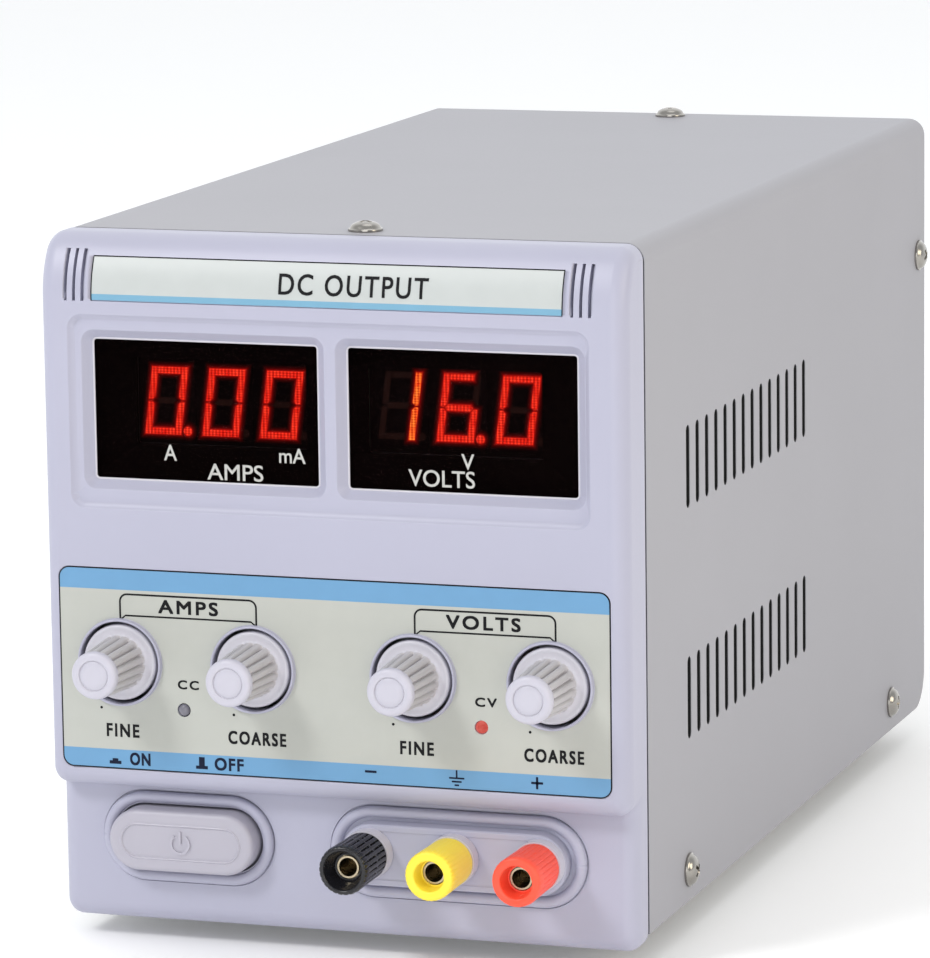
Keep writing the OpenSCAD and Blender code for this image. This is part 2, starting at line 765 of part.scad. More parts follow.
// A wire along a list of points
module wire(r, points) {
    for (i = [0:len(points) - 2]) {
        step = points[i + 1] - points[i];
        length = norm(step);
        translate(points[i]) rotate([0, acos(step[2] / length), atan2(step[1], step[0])])
            cylinder(r = r, h = length);
        if (i > 0) translate(points[i]) sphere(r = r + 0.1, $fn = 16);
    }
}

// Each post's lead runs back from its stud and down onto the main board
module output_leads() at_case() color([0.75, 0.12, 0.10])
    for (i = [0:2]) wire(1.1, [
        [post_places[i], stud_back_y, post_z],
        [post_places[i], stud_back_y + 8, post_z],
        [post_places[i] - 4, board_y[0] + 9, post_z + 6],
        [post_places[i] - 4, board_y[0] + 9, board_z + board_t]]);

// ---- Inside ----

module transformer_core() at_case() color([0.35, 0.36, 0.38])
    translate([0, core_y, floor_z + 0.2]) difference() {
        translate([-core_w / 2, -core_d / 2, 0]) cube([core_w, core_d, core_h]);
        for (side = [-1, 1])
            translate([side * (core_leg + core_leg / 2 + 0) - core_leg / 2, -core_d, core_leg])
                cube([core_leg, 2 * core_d, core_h - 2 * core_leg]);
    }

module transformer_coil() at_case() color([0.85, 0.72, 0.30])
    translate([0, core_y, floor_z + 0.2 + core_leg + 0.3])
        linear_extrude(core_h - 2 * core_leg - 0.6) difference() {
            round_rect(2 * (core_leg + coil_wall), core_d + 2 * coil_wall, 6);
            square([2 * core_leg + 0.4, core_d + 0.4], center = true);
        }

module transformer_bracket() at_case() color(steel_colour)
    translate([0, core_y, floor_z]) difference() {
        union() {
            for (side = [-1, 1]) {
                x = side * (core_w / 2 + 0.1);
                translate([side > 0 ? x : x - chassis_t, -15, 0])
                    cube([chassis_t, 30, core_h + 0.3 + chassis_t]);
                translate([side > 0 ? x : x - 16, -15, 0]) cube([16, 30, chassis_t]);
            }
            translate([-core_w / 2 - 0.1 - eps, -15, core_h + 0.3])
                cube([core_w + 0.2 + 2 * eps, 30, chassis_t]);
        }
        for (side = [-1, 1]) translate([side * 52, 0, -cut]) cylinder(r = 2.2, h = 5);
    }

module main_board() at_case() color(board_colour) difference() {
    translate([-board_x, board_y[0], board_z])
        cube([2 * board_x, board_y[1] - board_y[0], board_t]);
    for (p = board_places) translate([p[0], p[1], board_z - cut]) cylinder(r = 1.6, h = 5);
}

module board_standoffs() at_case() color(brass_colour)
    for (p = board_places) translate([p[0], p[1], floor_z]) {
        cylinder(r = standoff_r, h = board_z - floor_z);
        translate([0, 0, board_z - floor_z - eps]) cylinder(r = 1.5, h = board_t + 2);
    }

module board_chips() at_case() color(black_colour) translate([0, 0, board_z + board_t]) {
    for (i = [0:2]) translate([-44, 62 + i * 16, 0]) cube([19, 6.4, 4]);
    for (i = [0:4]) translate([-14 + i * 5, 116, 0]) cube([2.6, 9, 2.6]);
    translate([-44, 116, 0]) cube([19, 15.5, 15]);
}

module filter_capacitors() at_case() color([0.16, 0.18, 0.26])
    for (x = [2, 30]) translate([x, 92, board_z + board_t]) {
        cylinder(r = 12.5, h = 38);
        translate([0, 0, 38 - eps]) cylinder(r1 = 12.5, r2 = 11.8, h = 1);
    }

module bridge_rectifier() at_case() color(black_colour)
    translate([20, 116, board_z + board_t]) cube([22, 6, 20]);

// ---- Rear ----

module heat_sink() at_case() color([0.20, 0.20, 0.21]) translate([0, 0, sink_z[0]])
    linear_extrude(sink_z[1] - sink_z[0]) {
        translate([sink_x[0], rear_y]) square([sink_x[1] - sink_x[0], sink_base_t]);
        for (i = [0:fin_count - 1])
            translate([sink_x[0] + i * (sink_x[1] - sink_x[0] - fin_t) / (fin_count - 1), rear_y])
                square([fin_t, case_d + fin_reach - rear_y]);
    }

module power_transistors() at_case() color(black_colour) for (z = transistor_z) difference() {
    union() {
        translate([26 - 8, rear_inner - 5, z - 10]) cube([16, 5, 20]);
        for (i = [-1:1]) translate([26 + i * 5.4 - 0.5, rear_inner - 3, z - 24])
            cube([1, 0.6, 14 + eps]);
    }
    front(26, rear_y, z + 4) cylinder(r = 1.6, h = 10);
}

module mains_inlet() at_case() color(black_colour)
    front(inlet_place[0], rear_y, inlet_place[1]) {
        difference() {
            union() {
                translate([0, 0, -2.4]) linear_extrude(2.4) round_rect(48, 23, 2.5);
                linear_extrude(26) square([27, 20], center = true);
            }
            translate([0, 0, -5]) linear_extrude(21) round_rect(24.4, 16.6, 3);
            for (side = [-1, 1]) translate([side * 20, 0, -5]) cylinder(r = 1.7, h = 9);
        }
        for (p = [[-7, -1.6], [0, 2.6], [7, -1.6]]) translate([p[0] - 1, p[1] - 2, 3])
            cube([2, 4, 14]);
    }

module fuse_holder() at_case() color(black_colour)
    front(fuse_place[0], rear_y, fuse_place[1]) difference() {
        union() {
            translate([0, 0, -2.5]) cylinder(r = 8, h = 2.5);
            cylinder(r = 6, h = 30);
            translate([-1.5, 0, 30 - eps]) cube([3, 0.6, 6]);
        }
        translate([0, 0, -5]) cylinder(r = 4.5, h = 30);
    }

module fuse_cap() at_case() color([0.14, 0.14, 0.15])
    front(fuse_place[0], rear_y, fuse_place[1]) difference() {
        union() {
            translate([0, 0, -8]) cylinder(r = 6, h = 5.4);
            translate([0, 0, -2.6 - eps]) cylinder(r = 4.4, h = 8);
        }
        translate([-5, -0.7, -8 - cut]) cube([10, 1.4, 2.2]);
    }

module voltage_selector() at_case() color(black_colour)
    front(selector_place[0], rear_inner, selector_place[1]) difference() {
        linear_extrude(10) square([26, 13], center = true);
        translate([0, 0, -cut]) linear_extrude(5) square([13.4, 6.4], center = true);
    }

module selector_slider() at_case() color([0.80, 0.12, 0.10])
    front(selector_place[0] - selector_travel / 2, rear_y + 0.8, selector_place[1])
        linear_extrude(5) square([7, 5.4], center = true);

front_bezel();
cover();
chassis();
front_panel();
title_strip();
control_label();
window_current();
window_voltage();
rubber_feet();
foot_screws();
cover_screws();
bezel_screws();
knob_current_fine();
knob_current_coarse();
knob_voltage_fine();
knob_voltage_coarse();
shaft_current_fine();
shaft_current_coarse();
shaft_voltage_fine();
shaft_voltage_coarse();
pot_current_fine();
pot_current_coarse();
pot_voltage_fine();
pot_voltage_coarse();
pot_nuts();
display_board();
digits_current();
digits_voltage();
led_constant_current();
led_constant_voltage();
power_button();
switch_plunger();
power_switch();
post_cap_negative();
post_cap_ground();
post_cap_positive();
post_insert_negative();
post_insert_ground();
post_insert_positive();
post_stud_negative();
post_stud_ground();
post_stud_positive();
post_insulators();
post_nuts();
output_leads();
transformer_core();
transformer_coil();
transformer_bracket();
main_board();
board_standoffs();
board_chips();
filter_capacitors();
bridge_rectifier();
heat_sink();
power_transistors();
mains_inlet();
fuse_holder();
fuse_cap();
voltage_selector();
selector_slider();
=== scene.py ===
"""Looks of the bench power supply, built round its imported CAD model.

Lengths in this script are millimetres measured like the part's own drawing: X to the right, Y back from the
bezel's front face and Z up from the bezel's bottom edge. place() turns them into the frame's metres.
"""

import math

import bmesh
import bpy
from mathutils import Matrix, Vector


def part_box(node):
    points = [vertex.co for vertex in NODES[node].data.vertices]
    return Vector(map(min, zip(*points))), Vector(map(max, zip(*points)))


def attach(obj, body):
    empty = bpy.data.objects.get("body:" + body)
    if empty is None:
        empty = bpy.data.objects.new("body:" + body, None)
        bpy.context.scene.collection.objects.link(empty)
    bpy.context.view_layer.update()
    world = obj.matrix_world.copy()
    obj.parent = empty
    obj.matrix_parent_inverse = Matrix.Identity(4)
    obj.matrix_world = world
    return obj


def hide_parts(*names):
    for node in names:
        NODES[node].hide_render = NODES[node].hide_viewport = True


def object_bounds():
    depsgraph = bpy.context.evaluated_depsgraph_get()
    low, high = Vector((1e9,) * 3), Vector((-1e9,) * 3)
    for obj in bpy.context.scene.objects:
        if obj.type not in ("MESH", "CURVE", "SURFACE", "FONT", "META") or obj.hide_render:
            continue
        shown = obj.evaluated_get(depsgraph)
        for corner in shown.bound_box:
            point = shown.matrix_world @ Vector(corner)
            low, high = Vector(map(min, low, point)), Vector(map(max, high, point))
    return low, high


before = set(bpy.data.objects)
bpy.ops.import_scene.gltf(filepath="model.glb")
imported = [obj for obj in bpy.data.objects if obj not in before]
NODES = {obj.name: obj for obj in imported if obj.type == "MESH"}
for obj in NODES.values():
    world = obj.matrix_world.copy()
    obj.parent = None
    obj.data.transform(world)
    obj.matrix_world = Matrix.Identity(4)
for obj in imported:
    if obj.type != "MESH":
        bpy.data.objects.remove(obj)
cad_box = [[float(v) for v in corner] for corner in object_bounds()]

# ---------------------------------------------------------------- frame and driving sizes

MM = 0.001
BEZEL_D = 14.0
FRONT_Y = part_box("cover")[0][1] - BEZEL_D * MM
BASE_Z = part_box("front_bezel")[0][2]
CASE_H = (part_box("cover")[1][2] - BASE_Z) / MM
HALF_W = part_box("cover")[1][0] / MM


def place(x, y, z):
    return Vector((x * MM, FRONT_Y + y * MM, BASE_Z + z * MM))


def middle(node):
    """A CAD node's middle in this script's millimetres."""
    low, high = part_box(node)
    x, y, z = ((a + b) / 2 for a, b in zip(low, high))
    return x / MM, (y - FRONT_Y) / MM, (z - BASE_Z) / MM


SIDE_R = 3.6
BROW_Z, BROW_R, BROW_TOP_R = 136.0, 19.0, 7.0
STEP_Z, STEP_D = 30.5, 6.0
LOWER_EDGE_R, BOTTOM_EDGE_R = 3.8, 4.0
WALL, SKIN = 3.35, 2.6
SEAM = 1.1
COVER_BEND_R = 4.0
KNOBS = ("current_fine", "current_coarse", "voltage_fine", "voltage_coarse")
KNOB_X = [middle("shaft_" + key)[0] for key in KNOBS]
KNOB_Z = middle("shaft_current_fine")[2]
POSTS = ("negative", "ground", "positive")
POST_X = [middle("post_stud_" + p)[0] for p in POSTS]
POST_Z = middle("post_stud_ground")[2]
LED_X = [middle("led_constant_current")[0], middle("led_constant_voltage")[0]]
LED_Z = middle("led_constant_current")[2]
LED_R = 1.3
BUTTON_X, BUTTON_Z = middle("power_button")[0], middle("power_button")[2]
BUTTON_W, BUTTON_H = 33.0, 13.4
PLATE_X, PLATE_Z = 25.4, 19.0
PLATE_W, PLATE_H = 50.0, 13.4
WINDOW_X, WINDOW_Z = 28.55, 112.4
WINDOW_W, WINDOW_H = 50.5, 30.1
POCKET_X, POCKET_W, POCKET_H, POCKET_Z = -0.7, 115.6, 41.6, 112.1
DIGIT_FACE = 7.5
DIGITS_X, DIGITS_Z, DIGIT_PITCH = 26.0, 113.9, 13.0
LABEL_X, LABEL_W, LABEL_Z0, LABEL_H = -0.3, 122.8, 35.0, 43.4
BROW_X, STRIP_W, STRIP_Z1 = -0.7, 104.0, 145.0
SLOT_X = (54.2, 56.1, 58.0)
FILM_RECESS = 0.33
POST_HOLE_R, KNOB_WELL_R = 4.0, 9.2


# ---------------------------------------------------------------- materials

STUDIO_TONE = 0.80
# painted highlight: edges turn this much lighter, out to this reach in metres
EDGE_HIGHLIGHT, HIGHLIGHT_REACH = 1.09, 0.00035
BUMP_DEPTH = 0.00005


def colour(r, g, b, tone=STUDIO_TONE):
    """Paint that shows as this display colour, 0 to 255, under the studio's bright light."""
    return tuple(tone * ((v / 255 + 0.055) / 1.055) ** 2.4 for v in (r, g, b)) + (1.0,)


class Nodes:
    """The node tree of a material or world, with the few helpers that they share."""

    def __init__(self, owner):
        owner.use_nodes = True
        self.material = owner
        self.tree = owner.node_tree
        self.shader = self.tree.nodes.get("Principled BSDF")

    def add(self, kind, **values):
        node = self.tree.nodes.new(kind)
        for key, value in values.items():
            if key in node.inputs:
                node.inputs[key].default_value = value
            else:
                setattr(node, key, value)
        return node

    def link(self, a, b):
        self.tree.links.new(a, b)

    def feed(self, socket, value):
        """Gives an input a value, or a link where the value is another node's output."""
        if isinstance(value, bpy.types.NodeSocket):
            self.link(value, socket)
        else:
            socket.default_value = value

    def compute(self, operation, *values):
        node = self.add("ShaderNodeMath", operation=operation)
        for socket, value in zip(node.inputs, values):
            self.feed(socket, value)
        return node.outputs[0]

    def blend(self, factor, a, b, blend_type="MIX"):
        node = self.add("ShaderNodeMix", data_type="RGBA", blend_type=blend_type)
        for key, value in (("Factor", factor), ("A", a), ("B", b)):
            self.feed(node.inputs[key], value)
        return node.outputs["Result"]

    def place(self):
        return self.add("ShaderNodeTexCoord").outputs["Object"]

    def axes(self):
        """The object's X, Y and Z in metres."""
        split = self.add("ShaderNodeSeparateXYZ")
        self.link(self.place(), split.inputs["Vector"])
        return split.outputs

    def noise(self, scale, detail=3.0, stretch=None):
        """Noise over the surface; scale is in features per metre."""
        source = self.place()
        if stretch:
            mapping = self.add("ShaderNodeMapping", Scale=stretch)
            self.link(source, mapping.inputs["Vector"])
            source = mapping.outputs["Vector"]
        node = self.add("ShaderNodeTexNoise", Scale=scale, Detail=detail)
        self.link(source, node.inputs["Vector"])
        return node.outputs["Fac"]

    def ramp(self, value, stops):
        node = self.add("ShaderNodeValToRGB")
        elements = node.color_ramp.elements
        while len(elements) < len(stops):
            elements.new(0.5)
        for element, (position, tint) in zip(elements, stops):
            element.position = position
            element.color = tint
        self.link(value, node.inputs["Fac"])
        return node.outputs["Color"]

    def spread(self, value, low, high):
        node = self.add("ShaderNodeMapRange")
        node.inputs["To Min"].default_value = low
        node.inputs["To Max"].default_value = high
        self.link(value, node.inputs["Value"])
        return node.outputs["Result"]

    def bump(self, value, strength, distance):
        node = self.add("ShaderNodeBump", Strength=strength, Distance=distance)
        self.link(value, node.inputs["Height"])
        if self.shader.inputs["Normal"].is_linked:
            self.link(self.shader.inputs["Normal"].links[0].from_socket, node.inputs["Normal"])
        self.link(node.outputs["Normal"], self.shader.inputs["Normal"])

    def put(self, **values):
        """Sets the shader's inputs; an underscore stands for a space in an input's name."""
        for key, value in values.items():
            self.shader.inputs[key.replace("_", " ")].default_value = value

    def painted_edge_highlight(self, base, tint):
        """The base colour, turned to a lighter tint where a fillet of the highlight reach, in metres, would
        round an edge: a painted highlight along edges.
        """
        rounded = self.add("ShaderNodeBevel", samples=4, Radius=HIGHLIGHT_REACH)
        normal = self.add("ShaderNodeNewGeometry").outputs["Normal"]
        agree = self.add("ShaderNodeVectorMath", operation="DOT_PRODUCT")
        self.link(rounded.outputs["Normal"], agree.inputs[0])
        self.link(normal, agree.inputs[1])
        mask = self.ramp(agree.outputs["Value"], [(0.85, (1, 1, 1, 1)), (0.99, (0, 0, 0, 1))])
        return self.blend(mask, base, tint)

    def bands(self, axis, edges, tints):
        """Colour by place along an axis: tints[0] below edges[0] metres, tints[1] up to edges[1], ..."""
        along = self.axes()[axis]
        result = tints[0]
        for edge, tint in zip(edges, tints[1:]):
            result = self.blend(self.compute("GREATER_THAN", along, edge), result, tint)
        return result


def new_nodes(name):
    return Nodes(bpy.data.materials.new(name))


def shade(tint, factor):
    return tuple(min(1.0, v * factor) for v in tint[:3]) + (1.0,)


def surface(
    name, tint, rough, grain=900.0, bump=0.12, mottle=0.03, metallic=0.0, coat=0.0, stretch=None, gloss=0.5
):
    """Plastic, paint or metal: slow colour drift, a painted highlight along edges, fine grain in bump and
    roughness.
    """
    n = new_nodes(name)
    drift = n.noise(26.0, 4.0)
    fine = n.noise(grain, 2.0, stretch)
    base = n.ramp(drift, [(0.3, shade(tint, 1 - mottle)), (0.7, shade(tint, 1 + mottle))])
    n.link(n.painted_edge_highlight(base, shade(tint, EDGE_HIGHLIGHT)), n.shader.inputs["Base Color"])
    n.link(n.spread(fine, rough - 0.05, rough + 0.05), n.shader.inputs["Roughness"])
    n.bump(fine, bump, BUMP_DEPTH)
    n.put(Metallic=metallic, Specular_IOR_Level=gloss, Coat_Weight=coat)
    return n.material


def glow(name, tint, strength, core=None, lattice=0.0):
    """A lit surface: cloudy brightness, and optionally a lattice of fine lines at this pitch in metres."""
    n = new_nodes(name)
    cells = n.noise(900.0, 2.0)
    light = n.ramp(cells, [(0.3, shade(tint, 0.82)), (0.7, core or tint)])
    if lattice:
        axes = n.axes()
        for axis, pitch in (("X", 1.4 * lattice), ("Z", lattice)):
            wave = n.compute("SINE", n.compute("MULTIPLY", axes[axis], 2 * math.pi / pitch))
            lines = n.ramp(wave, [(0.0, (0.4, 0.2, 0.2, 1)), (0.4, (1, 1, 1, 1))])
            light = n.blend(0.75, light, lines, "MULTIPLY")
    n.link(light, n.shader.inputs["Emission Color"])
    n.put(Emission_Strength=strength, Base_Color=shade(tint, 0.02), Roughness=0.6, Specular_IOR_Level=0.02)
    n.bump(cells, 0.1, 0.00003)
    return n.material


def painted_shade_inside(material, half_w, top, r, skin):
    """Paints shade on a bent sheet: near black everywhere but its outer face, whose bends have radius r,
    standing in for the dark inside of the case.
    """
    n = Nodes(material)
    axes = n.axes()
    from_middle = n.compute("ABSOLUTE", axes["X"])
    beside = n.compute("MAXIMUM", n.compute("SUBTRACT", from_middle, half_w - r), 0.0)
    above = n.compute("MAXIMUM", n.compute("SUBTRACT", axes["Z"], top - r), 0.0)
    squares = n.compute("ADD", n.compute("MULTIPLY", beside, beside), n.compute("MULTIPLY", above, above))
    outside = n.compute("GREATER_THAN", n.compute("SQRT", squares), r - skin)
    base = n.shader.inputs["Base Color"]
    n.link(n.blend(outside, (0.006, 0.006, 0.006, 1), base.links[0].from_socket), base)
    return material


def smoked_pane(name):
    """Dark display window: mostly black, with the lit digits showing through."""
    n = new_nodes(name)
    haze = n.noise(60.0, 3.0)
    tints = n.ramp(haze, [(0.3, (0.004, 0.002, 0.002, 1)), (0.7, (0.006, 0.003, 0.003, 1))])
    n.link(tints, n.shader.inputs["Base Color"])
    n.link(n.spread(haze, 0.05, 0.09), n.shader.inputs["Roughness"])
    n.put(Alpha=0.3, IOR=1.3, Specular_IOR_Level=0.0)
    return n.material


def knob_plastic_painted_shading(name, cap_edge, skirt_edge):
    """Knob moulding whose ribbed grip, between its cap and its skirt, is painted darker and warmer as shade
    among the ribs, and whose skirt is painted lighter than the cap, as painted light on a part that falls in
    shade.
    """
    n = new_nodes(name)
    fine = n.noise(1200.0, 2.0)
    # cap, grip and skirt tints: the grip's darker tint is painted shade among the ribs, the skirt's lighter
    # tint is painted light
    tints = [colour(210, 208, 221), colour(206, 203, 206), colour(216, 214, 224)]
    shaded_bands = n.bands(1, [cap_edge, skirt_edge], tints)
    # lighter on the edges: a painted highlight
    n.link(n.painted_edge_highlight(shaded_bands, colour(228, 226, 232)), n.shader.inputs["Base Color"])
    n.link(n.spread(fine, 0.32, 0.44), n.shader.inputs["Roughness"])
    n.bump(fine, 0.08, BUMP_DEPTH)
    return n.material


LAVENDER = colour(190, 190, 210)
MAT = {
    "bezel": surface("bezel_plastic", LAVENDER, 0.42, grain=1500.0, bump=0.10, mottle=0.015),
    "knob": knob_plastic_painted_shading("knob_plastic_painted_shading", FRONT_Y - 13.5 * MM, FRONT_Y - 0.9 * MM),
    "button": surface("button_plastic", colour(192, 189, 202), 0.38, grain=1400.0, bump=0.08, mottle=0.015),
    # the cover's inside and its slot walls are painted near black: painted shade inside the case
    "cover": painted_shade_inside(
        surface("cover_powder_coat", colour(171, 170, 177), 0.50, grain=2600.0, bump=0.28, mottle=0.012),
        HALF_W * MM,
        BASE_Z + CASE_H * MM,
        COVER_BEND_R * MM,
        0.15 * MM,
    ),
    "steel": surface(
        "zinc_plated_steel",
        colour(178, 180, 184),
        0.38,
        grain=700.0,
        bump=0.10,
        metallic=0.9,
        stretch=(1, 12, 1),
    ),
    "screw": surface("nickel_screw", colour(176, 172, 166), 0.2, grain=900.0, bump=0.06, metallic=1.0),
    "rubber": surface("black_rubber", colour(34, 34, 36), 0.75, grain=1800.0, bump=0.3),
    "shaft": surface(
        "turned_steel", colour(176, 176, 180), 0.3, grain=900.0, bump=0.15, metallic=1.0, stretch=(1, 14, 1)
    ),
    "phenolic": surface("phenolic_board", colour(150, 126, 92), 0.6, grain=500.0, bump=0.2),
    "board": surface("solder_mask", colour(38, 104, 66), 0.3, grain=420.0, bump=0.25, coat=0.3),
    "black": surface("black_plastic", colour(36, 36, 38), 0.42, grain=1100.0, bump=0.15),
    "face_black": surface(
        "display_black", (0.0012, 0.0009, 0.0009, 1), 0.7, grain=1100.0, bump=0.05, gloss=0.0
    ),
    "white": surface("white_nylon", colour(222, 219, 232), 0.4, grain=1100.0, bump=0.08),
    "cap_black": surface("cap_black_plastic", colour(30, 30, 35), 0.26, grain=1500.0, bump=0.12),
    "cap_yellow": surface("cap_yellow_plastic", colour(255, 226, 66, 1.0), 0.38, grain=1500.0, bump=0.08),
    "cap_red": surface("cap_red_plastic", colour(250, 82, 56, 1.0), 0.38, grain=1500.0, bump=0.08),
    "brass": surface("nickel_brass", colour(206, 192, 164), 0.28, grain=900.0, bump=0.1, metallic=1.0),
    "wire": surface("wire_insulation", colour(176, 38, 30), 0.45, grain=1000.0, bump=0.05),
    "core": surface(
        "varnished_core", colour(84, 86, 92), 0.45, grain=260.0, bump=0.5, metallic=0.4, stretch=(1, 9, 1)
    ),
    "coil": surface("coil_tape", colour(206, 172, 70), 0.35, grain=300.0, bump=0.2, coat=0.2),
    "capacitor": surface("capacitor_sleeve", colour(42, 48, 74), 0.3, grain=600.0, bump=0.08, coat=0.3),
    "anodised": surface(
        "black_anodised", colour(44, 44, 47), 0.42, grain=900.0, bump=0.12, metallic=0.7, stretch=(1, 1, 8)
    ),
    "red_plastic": surface("red_plastic", colour(196, 34, 28), 0.35, grain=1000.0, bump=0.06),
    "ink": surface("black_ink", colour(16, 16, 20), 0.6, grain=2000.0, bump=0.1, mottle=0.1, gloss=0.2),
    "ink_blue": surface(
        "dark_blue_ink", colour(14, 24, 52), 0.6, grain=2000.0, bump=0.1, mottle=0.1, gloss=0.2
    ),
    "led_grey": surface("led_grey_lens", colour(126, 124, 136), 0.25, grain=800.0, bump=0.08, coat=0.3),
    "pane": smoked_pane("smoked_pane"),
    "digit_red": glow(
        "lit_segment", (0.9, 0.016, 0.008, 1), 3.0, core=(1.0, 0.05, 0.02, 1), lattice=0.00055
    ),
    "digit_orange": glow(
        "lit_segment_bright", (1.0, 0.06, 0.01, 1), 3.6, core=(1.0, 0.24, 0.03, 1), lattice=0.00055
    ),
    "digit_off": surface("unlit_segment", (0.03, 0.011, 0.008, 1), 0.5, grain=900.0, bump=0.1, gloss=0.0),
    # printed captions that glow though they are no lamp: painted light
    "caption": glow("caption_white_painted_glow", (0.9, 0.9, 0.86, 1), 0.75),
    "led_red": glow("led_red_lens", (0.86, 0.10, 0.08, 1), 0.75, core=(0.95, 0.22, 0.18, 1)),
}

# the glow round a lit segment: each layer's reach past it and its strength
HALOS = [(0.12, 0.75), (0.26, 0.42), (0.42, 0.22), (0.6, 0.1), (0.82, 0.045), (1.06, 0.018), (1.3, 0.007)]
for halo_reach, strength in HALOS:
    MAT["halo_%.2f" % halo_reach] = glow("halo_round_segment", (1.0, 0.012, 0.008, 1), strength)


def printed(name, bands, tints):
    """Printed film: colour bands by height over a faint pattern of the print."""
    n = new_nodes(name)
    speck = n.noise(240.0, 4.0)
    pattern = n.ramp(speck, [(0.3, (0.97, 0.97, 0.97, 1)), (0.7, (1, 1, 1, 1))])
    n.link(n.blend(1.0, n.bands(2, bands, tints), pattern, "MULTIPLY"), n.shader.inputs["Base Color"])
    n.link(n.spread(speck, 0.38, 0.46), n.shader.inputs["Roughness"])
    n.bump(n.noise(1300.0, 2.0), 0.06, 0.00004)
    return n.material


def height(z):
    return BASE_Z + z * MM


FILM_BLUE = colour(113, 168, 212)
FILM_FIELD = colour(199, 201, 194)
LABEL_BANDS, STRIP_BAND = (39.1, 73.9), 137.3
MAT["label"] = printed("control_film", [height(z) for z in LABEL_BANDS], [FILM_BLUE, FILM_FIELD, FILM_BLUE])
MAT["strip"] = printed("title_film", [height(STRIP_BAND)], [colour(126, 180, 210), colour(205, 210, 209)])


# ---------------------------------------------------------------- mesh building


def new_object(name, bm, material, sharp=34.0, weighted=True):
    """Turns a bmesh into an object with smooth rounding and crisp edges."""
    bmesh.ops.recalc_face_normals(bm, faces=bm.faces)
    mesh = bpy.data.meshes.new(name)
    bm.to_mesh(mesh)
    bm.free()
    obj = bpy.data.objects.new(name, mesh)
    bpy.context.scene.collection.objects.link(obj)
    if material:
        mesh.materials.append(material)
    soften(obj, sharp, weighted)
    return obj


def soften(obj, sharp=34.0, weighted=True):
    obj.data.polygons.foreach_set("use_smooth", [True] * len(obj.data.polygons))
    obj.data.set_sharp_from_angle(angle=math.radians(sharp))
    if weighted:
        modifier = obj.modifiers.new("even_shading", "WEIGHTED_NORMAL")
        modifier.keep_sharp = True


def loft(rings, looped=False):
    """Skins closed rings of points, each with as many points as the last, and caps or joins the ends."""
    bm = bmesh.new()
    rows = [[bm.verts.new(p) for p in ring] for ring in rings]
    count = len(rows[0])
    pairs = list(zip(rows, rows[1:])) + ([(rows[-1], rows[0])] if looped else [])
    for a, b in pairs:
        for i in range(count):
            j = (i + 1) % count
            bm.faces.new((a[i], a[j], b[j], b[i]))
    if not looped:
        bm.faces.new(rows[0])
        bm.faces.new(list(reversed(rows[-1])))
    return bm


def arc(cx, cy, r, start, end, n):
    steps = [math.radians(start + (end - start) * i / n) for i in range(n + 1)]
    return [(cx + r * math.cos(a), cy + r * math.sin(a)) for a in steps]


def rounded(cx, cz, w, h, r, n=8):
    """Outline of a rounded rectangle in the XZ plane; a stadium when r is half of h."""
    r = max(r, 0.02)
    dx, dz = w / 2 - r, h / 2 - r
    return (
        arc(cx + dx, cz + dz, r, 0, 90, n)
        + arc(cx - dx, cz + dz, r, 90, 180, n)
        + arc(cx - dx, cz - dz, r, 180, 270, n)
        + arc(cx + dx, cz - dz, r, 270, 360, n)
    )


def plate_rings(cx, cz, w, h, r, sections, n=8):
    """Rings of a rounded plate: each section is (growth of the outline, depth y)."""
    rings = []
    for grow, y in sections:
        outline = rounded(cx, cz, w + 2 * grow, h + 2 * grow, r + grow, n)
        rings.append([place(x, y, z) for x, z in outline])
    return rings


def turned(profile, cx, cz, n=64, looped=False):
    """Revolves (radius, y) points about the Y axis through cx, cz."""
    rings = []
    for r, y in profile:
        r = max(r, 0.01)
        rings.append([place(x, y, z) for x, z in arc(cx, cz, r, 0, 360 - 360 / n, n - 1)])
    return loft(rings, looped)


def swept(section, cx, cz, w, h, r, n=24):
    """Sweeps a closed (outward offset, y) section round a rounded rectangle."""
    return loft(plate_rings(cx, cz, w, h, r, section, n), looped=True)


def boolean(obj, others, operation):
    """Applies boolean modifiers to obj in turn and removes the other solids."""
    for other in others:
        modifier = obj.modifiers.new("solid", "BOOLEAN")
        modifier.operation = operation
        modifier.solver = "EXACT"
        modifier.object = other
    graph = bpy.context.evaluated_depsgraph_get()
    mesh = bpy.data.meshes.new_from_object(obj.evaluated_get(graph))
    old = obj.data
    obj.modifiers.clear()
    obj.data = mesh
    bpy.data.meshes.remove(old)
    for other in others:
        bpy.data.objects.remove(other)


def solid(bm):
    return new_object("solid", bm, None, weighted=False)


def joined(name, parts, material):
    """Several solids as one object."""
    bm = bmesh.new()
    for part in parts:
        bm.from_mesh(part.data)
        bpy.data.objects.remove(part)
    return new_object(name, bm, material)


